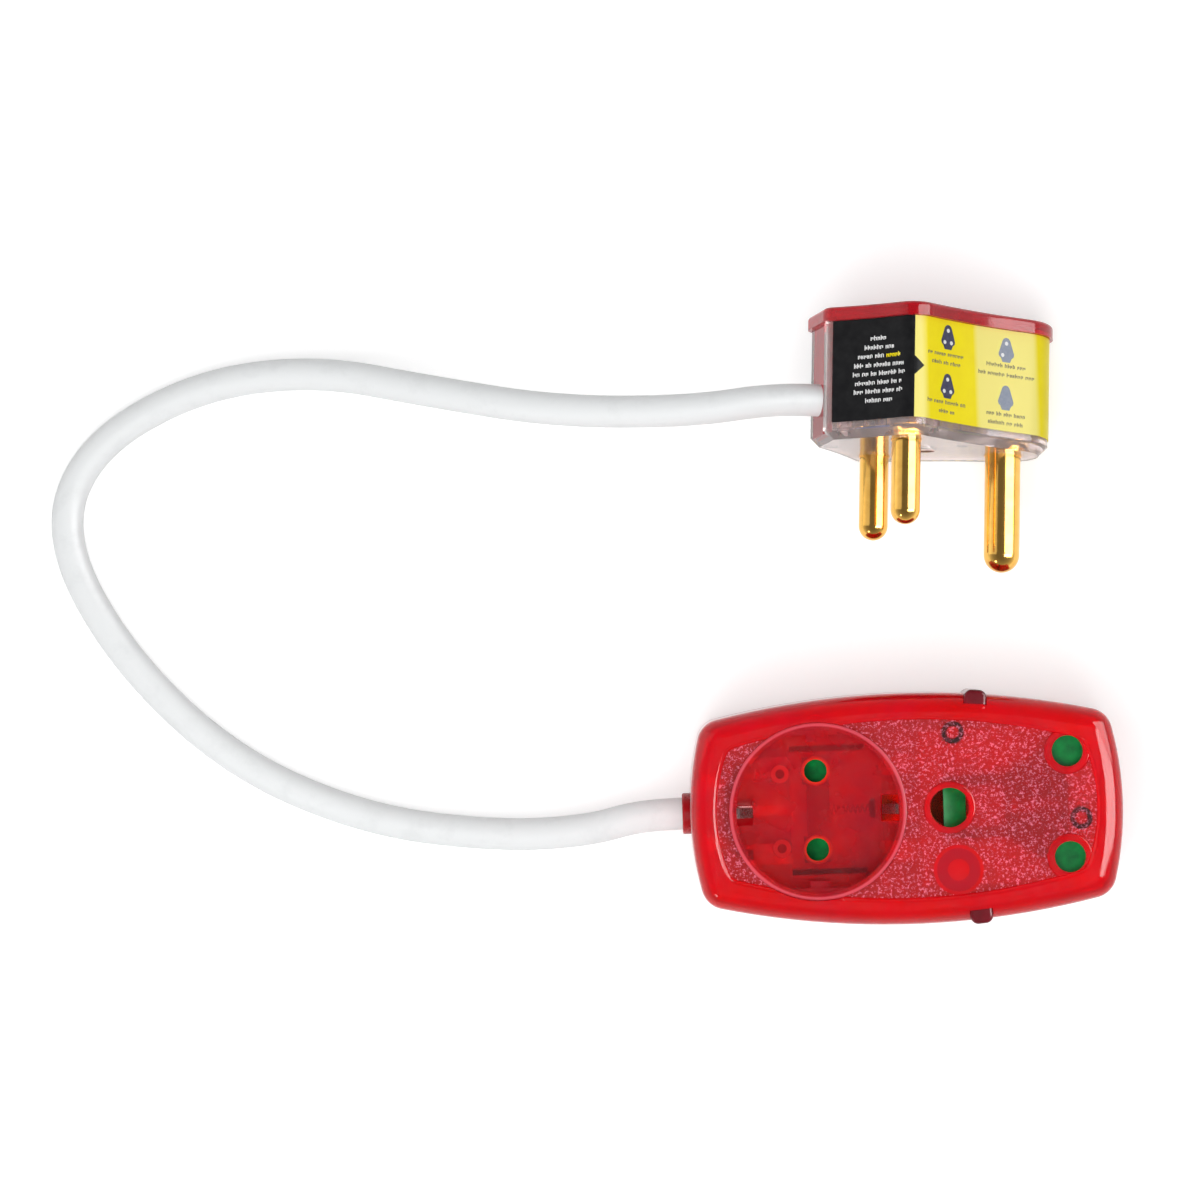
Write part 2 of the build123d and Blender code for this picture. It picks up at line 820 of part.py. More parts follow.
def strap_leg_room():
    """The space of the strap's right leg, which the earth bar is notched for."""
    edge = recess_x + strap_reach
    half = strap_width / 2 + fit_gap
    return block(edge - strap_thickness - fit_gap, edge + fit_gap, -half, half,
                 earth_bar_bottom, socket_top)


def terminal_screws():
    top = phase_bar_bottom + bar_thickness
    length = top - wall - overrun
    pair = []
    for side in (-1, 1):
        place = Pos(terminal_x, side * bar_row_y, top)
        pair.append(place * screw(terminal_head_radius, terminal_head_height,
                                  terminal_screw_radius, length))
    return Compound(children=pair)


def phase_core(side):
    """A core from the end of the cord to the bar, under the head of the terminal screw."""
    rest = phase_bar_bottom + bar_thickness + core_radius
    row = side * bar_row_y
    stop_x = terminal_x - terminal_head_radius - core_radius / 2
    start = (cord_tail_end, side * core_offset, cord_height)
    aside = (cord_tail_end + core_radius, side * core_spread, cord_height)
    climb = (stop_x - 2 * core_radius, row, rest)
    stop = (stop_x, row, rest)
    core = sheath((start, aside, climb, stop), core_radius, [core_bend] * 2)
    return core - cord_tail()


def earth_core():
    """A short core, welded to the outside of the strap's left leg."""
    z = cord_height - core_offset
    return lying_rod(core_radius, cord_tail_end, recess_x - strap_reach, z=z)


# Cord entry of the coupler

def cord_gland():
    outside = -body_length / 2 - gland_proud
    inside = -body_length / 2 + wall + gland_flange_setback
    gland = lying_rod(gland_radius, outside, inside, z=cord_height)
    gland = fillet(gland.edges().group_by(Axis.X)[0], gland_round)
    flange = lying_rod(gland_flange_radius, inside, inside + gland_flange_thickness,
                       z=cord_height)
    flange &= slab(barrel(wall + fit_gap, inner_radius(wall)), wall + fit_gap, body_height)
    gland += flange
    far = inside + gland_flange_thickness + overrun
    return gland - lying_rod(cord_radius + fit_gap, outside - overrun, far, z=cord_height)


def cord_tail():
    """The end of the sheath inside the coupler."""
    return lying_rod(cord_radius, -body_length / 2 - gland_proud, cord_tail_end, z=cord_height)


def cord_clamp():
    half = clamp_width / 2
    bar = block(clamp_x - half, clamp_x + half, -clamp_half_span, clamp_half_span,
                cord_height, cord_height + clamp_rise)
    bar -= lying_rod(cord_radius, clamp_x - half - overrun, clamp_x + half + overrun,
                     z=cord_height)
    for side in (-1, 1):
        bar -= rod(clamp_screw_radius + fit_gap, cord_height - overrun, body_height,
                   clamp_x, side * clamp_screw_y)
    return bar


def clamp_screws():
    pair = []
    for side in (-1, 1):
        place = Pos(clamp_x, side * clamp_screw_y, cord_height + clamp_rise)
        length = clamp_rise + clamp_screw_length - overrun
        pair.append(place * screw(clamp_head_radius, clamp_head_height,
                                  clamp_screw_radius, length))
    return Compound(children=pair)


# Plug, modelled upright on its pin face: +X to the earth pin and +Z to the cap

def pear(grow=0):
    """Plan of the plug: a round earth end, two hollow flanks and a narrow cord end."""
    join = Vector(lobe_radius, 0).rotate(Axis.Z, lobe_join_angle)
    lobe_x = earth_pin_distance + join.X
    lobe_y = join.Y
    ridge = (ridge_x, ridge_half_width)
    tail = (tail_x, tail_half_width)
    flank = hollow_middle((lobe_x, lobe_y), ridge, flank_hollow)
    tail_flank = hollow_middle(ridge, tail, tail_flank_hollow)
    half = [
        ThreePointArc((lobe_x, lobe_y), flank, ridge),
        ThreePointArc(ridge, tail_flank, tail),
    ]
    end = earth_pin_distance + lobe_radius
    outline = Curve() + [
        ThreePointArc((lobe_x, -lobe_y), (end, 0), (lobe_x, lobe_y)),
        Line((tail_x, tail_half_width), (tail_x, -tail_half_width)),
    ] + half + [edge.mirror(Plane.XZ) for edge in half]
    plan = make_face(outline)
    corners = plan.vertices().group_by(Axis.X)
    plan = fillet(corners[0], tail_round)
    ridges = [v for v in plan.vertices() if abs(v.X - ridge_x) < fit_gap]
    plan = fillet(ridges, ridge_round)
    return offset(plan, amount=grow) if grow else plan


def hollow_middle(start, end, hollow):
    """The middle of a flank, drawn in from the straight line by hollow."""
    middle = (Vector(*start) + Vector(*end)) / 2
    along = (Vector(*end) - Vector(*start)).normalized()
    inward = Vector(-along.Y, along.X)
    return tuple(middle + inward * hollow)[:2]


def plug_split():
    """Height of the joint between the clear base and the cap."""
    return plug_height - cap_height


def plug_places(shares):
    """Places on the plug's plan: shares of the pin distance along and of the half width across."""
    return [(along * earth_pin_distance, across * ridge_half_width) for along, across in shares]


def pin_places():
    """Places of the live, neutral and earth pins with their radii and lengths."""
    return {
        "live": (0, phase_hole_y, phase_pin_radius, phase_pin_length),
        "neutral": (0, -phase_hole_y, phase_pin_radius, phase_pin_length),
        "earth": (earth_pin_distance, 0, earth_pin_radius, earth_pin_length),
    }


def plug_base():
    base = slab(pear(), 0, plug_split())
    base = chamfer(base.edges().group_by(Axis.Z)[0], plug_chamfer)
    base -= slab(pear(-plug_wall), plug_floor, plug_height)
    for x, y in plug_places(standoff_shares):
        base += rod(standoff_radius, plug_floor / 2, board_height, x, y)
    base += rod(cap_boss_radius, plug_floor / 2, cap_boss_height, cap_screw_x)
    base -= rod(boss_bore, -overrun, plug_height, cap_screw_x)
    base -= rod(counterbore_radius, -overrun, plug_floor, cap_screw_x)
    for x, y, radius, _ in pin_places().values():
        base -= rod(radius + pin_collar_extra, -overrun, plug_floor + overrun, x, y)
    for side in (-1, 1):
        y = side * plug_clamp_screw_y
        base += rod(plug_clamp_post_radius, plug_floor / 2, plug_cord_height, plug_clamp_x, y)
        base -= rod(plug_clamp_screw_radius + fit_gap,
                    plug_cord_height - plug_clamp_screw_length + overrun,
                    plug_height, plug_clamp_x, y)
    base -= block(tail_x - overrun, tail_x + tongue_thickness + fit_gap, -plug_slot_half_width,
                  plug_slot_half_width, saddle_floor, plug_height)
    reach = plug_clamp_x + plug_clamp_width
    base -= lying_rod(cord_radius + fit_gap, tail_x - overrun, reach, z=plug_cord_height)
    return base


def plug_cord_saddle():
    """The small block in the end wall, under the cord."""
    half = plug_slot_half_width - fit_gap
    saddle = block(tail_x, tail_x + tongue_thickness, -half, half, saddle_floor,
                   plug_cord_height)
    return saddle - lying_rod(cord_radius, tail_x - overrun, 0, z=plug_cord_height)


def plug_cap():
    """The lid, with a lip round the base and a tongue that closes the slot over the cord."""
    split = plug_split()
    cap = slab(pear(cap_lip), split, plug_height)
    cap = fillet(cap.edges().group_by(Axis.Z)[-1], cap_round)
    cap -= slab(pear(-plug_wall - fit_gap - cap_spigot_wall), split, plug_height - cap_top)
    spigot = slab(pear(-plug_wall - fit_gap), split - cap_spigot_depth, split)
    spigot -= slab(pear(-plug_wall - fit_gap - cap_spigot_wall), split - cap_spigot_depth, split)
    cap += spigot
    half = plug_slot_half_width - fit_gap
    tongue = block(tail_x, tail_x + tongue_thickness, -half, half, plug_cord_height, split)
    cap += tongue - lying_rod(cord_radius, tail_x - overrun, 0, z=plug_cord_height)
    pillar = rod(cap_pillar_radius, cap_boss_height, plug_height - cap_top, cap_screw_x)
    cap += pillar - rod(pillar_bore, cap_boss_height - overrun, plug_split(), cap_screw_x)
    return cap


def plug_label():
    """The printed band round the side wall, open at the cord end."""
    top = plug_split() - label_gap
    band = slab(pear(label_thickness), label_bottom, top) - slab(pear(), 0, plug_height)
    beyond = ridge_half_width + overrun
    return band - block(tail_x - overrun, label_start_x, -beyond, beyond, 0, plug_height)


def plug_pin(name):
    """A pin with a domed tip, a collar in the floor, and a terminal block inside the base."""
    x, y, radius, length = pin_places()[name]
    pin = rod(radius, radius - length, plug_floor, x, y)
    pin += Pos(x, y, radius - length) * Sphere(radius)
    pin += rod(radius + pin_collar_extra, -pin_collar_proud, plug_floor, x, y)
    top = plug_floor + terminal_block_height
    pin += rod(radius + terminal_block_extra, plug_floor, top, x, y)
    return pin - rod(block_screw_radius + fit_gap, top - block_screw_depth - fit_gap,
                     top + overrun, x, y)


def plug_terminal_screws():
    top = plug_floor + terminal_block_height
    screws = []
    for x, y, _, _ in pin_places().values():
        screws.append(Pos(x, y, top) * screw(block_screw_head_radius, block_screw_head_height,
                                             block_screw_radius, block_screw_depth))
    return Compound(children=screws)


def plug_cord_tail():
    return lying_rod(cord_radius, tail_x, plug_tail_end, z=plug_cord_height)


def plug_cord_clamp():
    half = plug_clamp_width / 2
    bar = block(plug_clamp_x - half, plug_clamp_x + half, -plug_clamp_half_span,
                plug_clamp_half_span, plug_cord_height, plug_cord_height + plug_clamp_rise)
    bar &= slab(pear(-plug_wall - fit_gap), 0, plug_height)
    bar -= lying_rod(cord_radius, tail_x, 0, z=plug_cord_height)
    for side in (-1, 1):
        bar -= rod(plug_clamp_screw_radius + fit_gap, 0, plug_height,
                   plug_clamp_x, side * plug_clamp_screw_y)
    return bar


def plug_clamp_screws():
    pair = []
    for side in (-1, 1):
        top = plug_cord_height + plug_clamp_rise
        place = Pos(plug_clamp_x, side * plug_clamp_screw_y, top)
        length = plug_clamp_rise + plug_clamp_screw_length - 2 * overrun
        pair.append(place * screw(plug_clamp_head_radius, clamp_head_height,
                                  plug_clamp_screw_radius, length))
    return Compound(children=pair)


def plug_circuit_board():
    top = board_height + board_thickness
    board = slab(pear(-plug_wall - board_margin), board_height, top)
    beyond = ridge_half_width + overrun
    board -= block(tail_x, board_left, -beyond, beyond, board_height - overrun, top + overrun)
    return board - rod(cap_pillar_radius + slide_gap, 0, plug_height, cap_screw_x)


def plug_varistors():
    """Surge arrester discs, standing on edge on the board."""
    base = board_height + board_thickness
    discs = []
    for x, y in plug_places(varistor_shares):
        disc = Pos(x, y, base + varistor_radius) * Rot(Y=90) * Cylinder(
            varistor_radius, varistor_thickness)
        disc = fillet(disc.edges(), varistor_round)
        half_width = varistor_foot_width / 2
        half_length = varistor_foot_length / 2
        discs.append(disc + block(x - half_width, x + half_width, y - half_length,
                                  y + half_length, base, base + varistor_radius))
    return Compound(children=discs)


def plug_lamps():
    """Indicator lamps, one above each pin, that shine through the cap."""
    base = board_height + board_thickness
    lamps = []
    for x, y in plug_places(lamp_shares):
        lamp = rod(lamp_radius, base, base + lamp_height - lamp_radius, x, y)
        lamp += Pos(x, y, base + lamp_height - lamp_radius) * Sphere(lamp_radius)
        lamps.append(lamp + rod(lamp_radius + lamp_flange, base, base + lamp_flange_height,
                                x, y))
    return Compound(children=lamps)


def plug_thermal_fuse():
    base = board_height + board_thickness
    fuse = lying_rod(fuse_radius, fuse_x - fuse_length / 2, fuse_x + fuse_length / 2,
                     fuse_y, base + fuse_radius)
    return fillet(fuse.edges().filter_by(GeomType.CIRCLE), fuse_round)


def plug_cap_screw():
    sunk = Pos(cap_screw_x, 0, plug_floor) * Rot(X=180)
    return sunk * screw(screw_head_radius, screw_head_height, pillar_bore - fit_gap,
                        cap_screw_length)


def plug_phase_core(side):
    """A core from the end of the cord to the side of a phase pin's block."""
    block_radius = phase_pin_radius + terminal_block_extra
    start = (plug_tail_end, side * core_offset, plug_cord_height)
    turn = (plug_tail_end + 2 * core_radius, side * core_offset, plug_cord_height)
    aim = (0, side * phase_hole_y, plug_cord_height - core_radius)
    core = sheath((start, turn, aim), core_radius, [core_bend])
    top = plug_floor + terminal_block_height
    return core - rod(block_radius, plug_floor, top, 0, side * phase_hole_y)


def plug_earth_core():
    """A core past the cap's pillar to the side of the earth pin's block."""
    block_radius = earth_pin_radius + terminal_block_extra
    z = plug_cord_height + earth_core_rise
    start = (plug_tail_end, 0, z)
    turn = (plug_tail_end + 2 * core_radius, 0, z)
    pass_by = (plug_tail_end + 4 * core_radius + core_offset, earth_core_y, z)
    straight = (earth_core_x, earth_core_y, z - core_offset)
    aim = (earth_pin_distance, 0, z - 2 * core_offset)
    core = sheath((start, turn, pass_by, straight, aim), core_radius, [core_bend] * 3)
    top = plug_floor + terminal_block_height
    return core - rod(block_radius, plug_floor, top, earth_pin_distance)


def plug_pose():
    """Where the plug lies: turned on its side, with the widest corner of its cap on the floor."""
    turned = Rot(Z=plug_yaw) * Rot(X=-plug_pin_rise) * Rot(Y=plug_dip) * Rot(X=-90)
    lowest = (turned * plug_cap()).bounding_box().min.Z
    return Pos(plug_x, plug_y, -lowest) * turned


def supply_cord(pose):
    """The free cord, from the plug's end wall to the coupler's gland."""
    entry = (pose * Pos(tail_x, 0, plug_cord_height)).position
    square = (pose * Pos(tail_x - cord_exit_run, 0, plug_cord_height)).position
    gland_x = -body_length / 2 - gland_proud
    exit_point = (gland_x, 0, cord_height)
    leaving = (gland_x - cord_exit_run, 0, cord_height)
    points = (tuple(entry), tuple(square), *cord_route, leaving, exit_point)
    radii = bend_radii(points)
    cord = sheath(points, cord_radius, radii)
    length = cord.volume / Circle(cord_radius).area
    print("cord points", [tuple(round(value, 2) for value in point) for point in points])
    print("cord radii", [round(radius) for radius in radii], "length", round(length, 1))
    return cord


def coupler_pieces():
    return {
        "upper_housing": upper_housing(),
        "lower_housing": lower_housing(),
        "snap_clips": snap_clips(),
        "housing_screws": housing_screws(),
        "socket_recess": socket_recess(),
        "earth_strap": earth_strap(),
        "shutter": shutter(),
        "shutter_spring": shutter_spring(),
        "shutter_frame": shutter_frame(),
        "round_shutter": round_shutter(),
        "round_shutter_spring": round_spring(),
        "round_shutter_plate": round_shutter_plate(),
        "live_socket": phase_socket(1),
        "neutral_socket": phase_socket(-1),
        "earth_socket": earth_socket(),
        "live_round_contact": round_contact(1),
        "neutral_round_contact": round_contact(-1),
        "live_bar": phase_bar(1),
        "neutral_bar": phase_bar(-1),
        "earth_bar": earth_bar(),
        "terminal_screws": terminal_screws(),
        "live_core": phase_core(1),
        "neutral_core": phase_core(-1),
        "earth_core": earth_core(),
        "cord_gland": cord_gland(),
        "cord_tail": cord_tail(),
        "cord_clamp": cord_clamp(),
        "cord_clamp_screws": clamp_screws(),
    }


def plug_pieces():
    return {
        "plug_base": plug_base(),
        "plug_cap": plug_cap(),
        "plug_label": plug_label(),
        "plug_live_pin": plug_pin("live"),
        "plug_neutral_pin": plug_pin("neutral"),
        "plug_earth_pin": plug_pin("earth"),
        "plug_terminal_screws": plug_terminal_screws(),
        "plug_cord_saddle": plug_cord_saddle(),
        "plug_cord_tail": plug_cord_tail(),
        "plug_cord_clamp": plug_cord_clamp(),
        "plug_clamp_screws": plug_clamp_screws(),
        "plug_circuit_board": plug_circuit_board(),
        "plug_varistors": plug_varistors(),
        "plug_lamps": plug_lamps(),
        "plug_thermal_fuse": plug_thermal_fuse(),
        "plug_cap_screw": plug_cap_screw(),
        "plug_live_core": plug_phase_core(1),
        "plug_neutral_core": plug_phase_core(-1),
        "plug_earth_core": plug_earth_core(),
    }


os.makedirs("parts", exist_ok=True)
pose = plug_pose()
pieces = coupler_pieces()
pieces["supply_cord"] = supply_cord(pose)
for name, piece in plug_pieces().items():
    pieces[name] = pose * piece
for name, piece in pieces.items():
    export_step(piece, f"parts/{name}.step")
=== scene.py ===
import json
import math
import random
import bmesh
import bpy
from mathutils import Matrix, Vector

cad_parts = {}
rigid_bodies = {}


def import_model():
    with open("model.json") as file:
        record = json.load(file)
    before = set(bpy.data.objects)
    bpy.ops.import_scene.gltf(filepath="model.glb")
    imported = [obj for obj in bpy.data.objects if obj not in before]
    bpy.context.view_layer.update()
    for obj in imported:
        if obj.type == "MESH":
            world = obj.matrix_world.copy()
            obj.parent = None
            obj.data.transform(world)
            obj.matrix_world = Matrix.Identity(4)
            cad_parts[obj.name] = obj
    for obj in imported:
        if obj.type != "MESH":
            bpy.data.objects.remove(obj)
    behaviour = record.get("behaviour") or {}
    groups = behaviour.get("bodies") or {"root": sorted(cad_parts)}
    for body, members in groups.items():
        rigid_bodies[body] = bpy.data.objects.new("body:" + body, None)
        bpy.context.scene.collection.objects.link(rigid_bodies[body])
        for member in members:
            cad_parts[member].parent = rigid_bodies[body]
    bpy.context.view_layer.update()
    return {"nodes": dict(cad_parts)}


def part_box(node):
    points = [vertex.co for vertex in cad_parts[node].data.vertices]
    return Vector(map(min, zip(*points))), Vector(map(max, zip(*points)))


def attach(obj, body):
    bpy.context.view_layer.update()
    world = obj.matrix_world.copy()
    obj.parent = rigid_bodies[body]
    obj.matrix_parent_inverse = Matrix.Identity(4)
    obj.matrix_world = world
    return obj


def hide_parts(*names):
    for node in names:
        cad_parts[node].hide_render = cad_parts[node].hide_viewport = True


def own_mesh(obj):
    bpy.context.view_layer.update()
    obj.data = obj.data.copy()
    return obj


# Surge protector lead: red see-through coupler, white cord, plug with a clear base.
# Sizes in the dictionaries are in mm, and mm turns them into Blender's metres.

mm = 0.001
for leftover in list(bpy.data.objects):
    bpy.data.objects.remove(leftover)
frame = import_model()
nodes = frame["nodes"]
scene = bpy.context.scene
scene.view_settings.view_transform = "Standard"

# Camera

camera = {
    "middle": (-72.1, 52.4),  # point under the middle of the picture
    "level": 42.0,            # height at which the picture is as wide as width
    "width": 287.8,
    "distance": 2500.0,
    "sensor": 36.0,
    "roll": -1.8,
}


def makeCamera():
    data = bpy.data.cameras.new("camera")
    data.sensor_width = camera["sensor"]
    data.lens = camera["sensor"] * camera["distance"] / camera["width"]
    rig = bpy.data.objects.new("camera", data)
    x, y = camera["middle"]
    rig.location = Vector((x, y, camera["level"] + camera["distance"])) * mm
    rig.rotation_euler = (0, 0, math.radians(camera["roll"]))
    scene.collection.objects.link(rig)
    scene.camera = rig


makeCamera()
print("camera done")

# Cord

cord = {
    "diameter": 7.8,
    "length": 390.4,
    "points": (
        (-53.8, 0, 14.0), (-63.8, 0, 14.0), (-76.0, -3.4, 11.2), (-98.0, -4.3, 6.6),
        (-130.6, 0.6, 4.4), (-163.0, 15.8, 4.2), (-188.9, 42.0, 4.2), (-203.6, 71.4, 4.2),
        (-196.0, 92.7, 4.2), (-170.0, 107.3, 4.6), (-140.3, 110.6, 9.0), (-110.8, 104.0, 18.0),
        (-81.6, 98.2, 27.6), (-49.4, 97.0, 34.6), (-27.59, 99.67, 34.05), (-18.01, 98.75, 31.33),
    ),
    "order": 3,   # 3 passes close to the points, 4 cuts their corners more
    "steps": 24,  # along the cord, from point to point
    "sides": 16,
}


def makeCord():
    curve = bpy.data.curves.new("supplyCord", "CURVE")
    curve.dimensions = "3D"
    spline = curve.splines.new("NURBS")
    spline.points.add(len(cord["points"]) - 1)
    for spot, point in zip(spline.points, cord["points"]):
        spot.co = (*(value * mm for value in point), 1)
    spline.order_u = cord["order"]
    spline.use_endpoint_u = True
    spline.resolution_u = cord["steps"]
    curve.bevel_depth = cord["diameter"] / 2 * mm
    curve.bevel_resolution = cord["sides"]
    curve.use_fill_caps = True
    flex = bpy.data.objects.new("supplyCord", curve)
    scene.collection.objects.link(flex)
    return flex


flex = makeCord()
print("cord done")

# Materials

# Spans of a noise over which one value turns into the other

cloudy = (0.35, 0.7)
mottled = (0.35, 0.68)
evenly = (0.3, 0.7)


def feed(tree, socket, value):
    # Links an input to the output of another node, or sets its own value
    if isinstance(value, bpy.types.NodeSocket):
        tree.links.new(value, socket)
    else:
        socket.default_value = value


def addNode(tree, kind, settings=None, **inputs):
    # An input named i0, i1 and so on is found by its number, any other by its name
    node = tree.nodes.new(kind)
    for name, value in (settings or {}).items():
        setattr(node, name, value)
    for name, value in inputs.items():
        numbered = name[0] == "i" and name[1:].isdigit()
        feed(tree, node.inputs[int(name[1:]) if numbered else name], value)
    return node


def startMaterial(name, sockets):
    material = bpy.data.materials.new(name)
    material.use_nodes = True
    tree = material.node_tree
    shader = tree.nodes["Principled BSDF"]
    for socket, value in sockets.items():
        shader.inputs[socket].default_value = value
    where = addNode(tree, "ShaderNodeTexCoord").outputs["Object"]
    return material, tree, shader, where


def noise(tree, where, size, detail, roughness=0.55):
    # Noise whose lumps are about size mm across
    node = addNode(tree, "ShaderNodeTexNoise", None, Vector=where, Scale=1 / (size * mm),
                   Detail=detail, Roughness=roughness)
    return node.outputs[0]


def ramp(tree, value, low, high, start=0.0, end=1.0):
    # Turns low to high into start to end, and holds it there
    node = addNode(tree, "ShaderNodeMapRange", {"clamp": True}, i0=value, i1=low, i2=high,
                   i3=start, i4=end)
    return node.outputs[0]


def blendColour(tree, factor, first, second):
    first, second = [(*colour, 1) if isinstance(colour, tuple) else colour for colour in (first, second)]
    node = addNode(tree, "ShaderNodeMix", {"data_type": "RGBA"}, i0=factor, i6=first, i7=second)
    return node.outputs[2]


def blendNumber(tree, factor, first, second):
    return addNode(tree, "ShaderNodeMix", None, i0=factor, i2=first, i3=second).outputs[0]


def maths(tree, operation, first, second, third=0.0):
    node = addNode(tree, "ShaderNodeMath", {"operation": operation}, i0=first, i1=second, i2=third)
    return node.outputs[0]


def bump(tree, shader, height, strength, depth):
    node = addNode(tree, "ShaderNodeBump", None, Strength=strength, Distance=depth * mm, Height=height)
    tree.links.new(node.outputs[0], shader.inputs["Normal"])


def bumpNoise(tree, shader, where, look, detail):
    size, strength, depth = look["bump"]
    bump(tree, shader, noise(tree, where, size, detail), strength, depth)


tinted = {
    "housingRed": {
        "clear": (0.88, 0.001, 0.004), "deep": (0.84, 0.002, 0.022), "through": 0.66,
        "gloss": 0.05, "specular": 0.18,
    },
    "trayRed": {
        "clear": (0.86, 0.004, 0.010), "deep": (0.72, 0.0, 0.008), "through": 0.62,
        "gloss": 0.09, "specular": 0.15,
    },
    "recessRed": {
        "clear": (0.86, 0.0, 0.004), "deep": (0.62, 0.0, 0.030), "through": 0.74, "gloss": 0.06,
        "specular": 0.1,
    },
    "clipRed": {
        "clear": (0.30, 0.006, 0.020), "deep": (0.09, 0.0, 0.004), "through": 0.35,
        "gloss": 0.12, "specular": 0.3,
    },
    "glandRed": {
        "clear": (0.62, 0.004, 0.012), "deep": (0.46, 0.0, 0.01), "through": 0.45,
        "gloss": 0.22, "specular": 0.2,
    },
    "capRed": {
        "clear": (0.80, 0.008, 0.022), "deep": (0.62, 0.002, 0.015), "through": 0.70,
        "gloss": 0.06, "specular": 0.3,
    },
    "saddleRed": {
        "clear": (0.50, 0.004, 0.010), "deep": (0.34, 0.0, 0.008), "through": 0.5,
        "gloss": 0.15, "specular": 0.2,
    },
    "innerRed": {
        "clear": (0.90, 0.02, 0.04), "deep": (0.84, 0.01, 0.02), "through": 0.10, "gloss": 0.3,
        "specular": 0.15,
    },
}
moulding = {
    "flow": 14,            # flow, haze, smears and waves are sizes of clouds in the plastic
    "haze": 9,
    "hazeLoss": 0.08,      # how much less light comes through in the haze
    "smears": 3,
    "smearSpan": (0.3, 0.8),
    "smearGloss": 0.09,    # how much duller the smears are
    "waves": 5,
    "bump": (0.12, 0.12),  # strength and depth
}
panel = {
    "height": 40.4,
    "reach": 0.05,         # how far off that height the texture goes
    "upright": 0.9,        # and how far a face may lean, as the upward part of its normal
    "bright": (0.97, 0.22, 0.33),
    "dull": (0.62, 0.003, 0.02),
    "grain": 0.6,
    "roughness": 0.75,
    "contrast": (0.49, 0.61),
    "through": (0.98, 0.48),
    "gloss": 0.12,
    "bump": 0.25,
}
# Light and shade painted into the recess colour: glow round the pin holes, highlight and shade on the
# bosses, highlight on the lip
recessPaintedLight = {
    "rings": (
        # Painted glow round the pin holes, then painted highlight rings on the ring bosses and painted
        # shade in their middles
        {"x": -21.4, "y": 9.5, "edge": (2.8, 3.7), "colour": (1.0, 0.035, 0.012), "through": 0.25},
        {"x": -30.0, "y": 9.0, "edge": (2.1, 2.3), "colour": (0.84, 0.012, 0.02), "through": 0.45},
        {"x": -30.0, "y": 9.0, "edge": (1.0, 1.2), "colour": (0.5, 0.0, 0.01), "through": 0.6},
    ),
    # The lip's pinkish colour is a painted highlight
    "lip": {
        "middle": (-21.4, 0.0),
        "edge": (20.3, 20.7),
        "level": 41.1,  # the rim above this is lip
        "colour": (0.88, 0.10, 0.14),
        "through": 0.3,
    },
}
roundel = {
    "middle": (11.9, -15.0),
    "edge": (5.1, 5.5),
    "colour": (0.50, 0.0, 0.02),
    "through": 0.5,
}


def ringMask(tree, where, middle, edge):
    # 1 near an upright axis, falling to 0 from the first radius to the second
    flat = addNode(tree, "ShaderNodeVectorMath", {"operation": "MULTIPLY"}, i0=where, i1=(1, 1, 0))
    apart = addNode(tree, "ShaderNodeVectorMath", {"operation": "DISTANCE"}, i0=flat.outputs[0],
                    i1=(middle[0] * mm, middle[1] * mm, 0))
    return ramp(tree, apart.outputs["Value"], edge[0] * mm, edge[1] * mm, 1.0, 0.0)


def frostPanel(tree, where, colour, gloss, through, height):
    # Gives the flat top of the housing its frosted grain, with the bare badge in it
    place = addNode(tree, "ShaderNodeSeparateXYZ", None, Vector=where)
    level = maths(tree, "COMPARE", place.outputs[2], panel["height"] * mm, panel["reach"] * mm)
    normal = addNode(tree, "ShaderNodeNewGeometry").outputs["Normal"]
    facing = addNode(tree, "ShaderNodeSeparateXYZ", None, Vector=normal)
    flat = maths(tree, "GREATER_THAN", facing.outputs[2], panel["upright"])
    mask = maths(tree, "MULTIPLY", level, flat)
    grains = noise(tree, where, panel["grain"], 3, panel["roughness"])
    speckle = ramp(tree, grains, *panel["contrast"])
    frost = ramp(tree, speckle, 0, 1, *panel["through"])
    badge = ringMask(tree, where, roundel["middle"], roundel["edge"])
    grainColour = blendColour(tree, speckle, panel["dull"], panel["bright"])
    panelColour = blendColour(tree, badge, grainColour, roundel["colour"])
    panelThrough = blendNumber(tree, badge, frost, roundel["through"])
    return (blendColour(tree, mask, colour, panelColour), blendNumber(tree, mask, gloss, panel["gloss"]),
            blendNumber(tree, mask, through, panelThrough), blendNumber(tree, mask, height, grains))


def paintRecessLight(tree, where, colour, through):
    # Paints light and shade into the recess: painted glow round the pin holes, painted highlight rings
    # and painted shade on the ring bosses, and a painted highlight on its lip above the panel
    for ring in recessPaintedLight["rings"]:
        for side in (1, -1):
            mask = ringMask(tree, where, (ring["x"], side * ring["y"]), ring["edge"])
            colour = blendColour(tree, mask, colour, ring["colour"])
            through = blendNumber(tree, mask, through, ring["through"])
    lip = recessPaintedLight["lip"]
    within = ringMask(tree, where, lip["middle"], lip["edge"])
    place = addNode(tree, "ShaderNodeSeparateXYZ", None, Vector=where)
    raised = maths(tree, "GREATER_THAN", place.outputs[2], lip["level"] * mm)
    mask = maths(tree, "MULTIPLY", raised, maths(tree, "SUBTRACT", 1.0, within))
    return (blendColour(tree, mask, colour, lip["colour"]),
            blendNumber(tree, mask, through, lip["through"]))


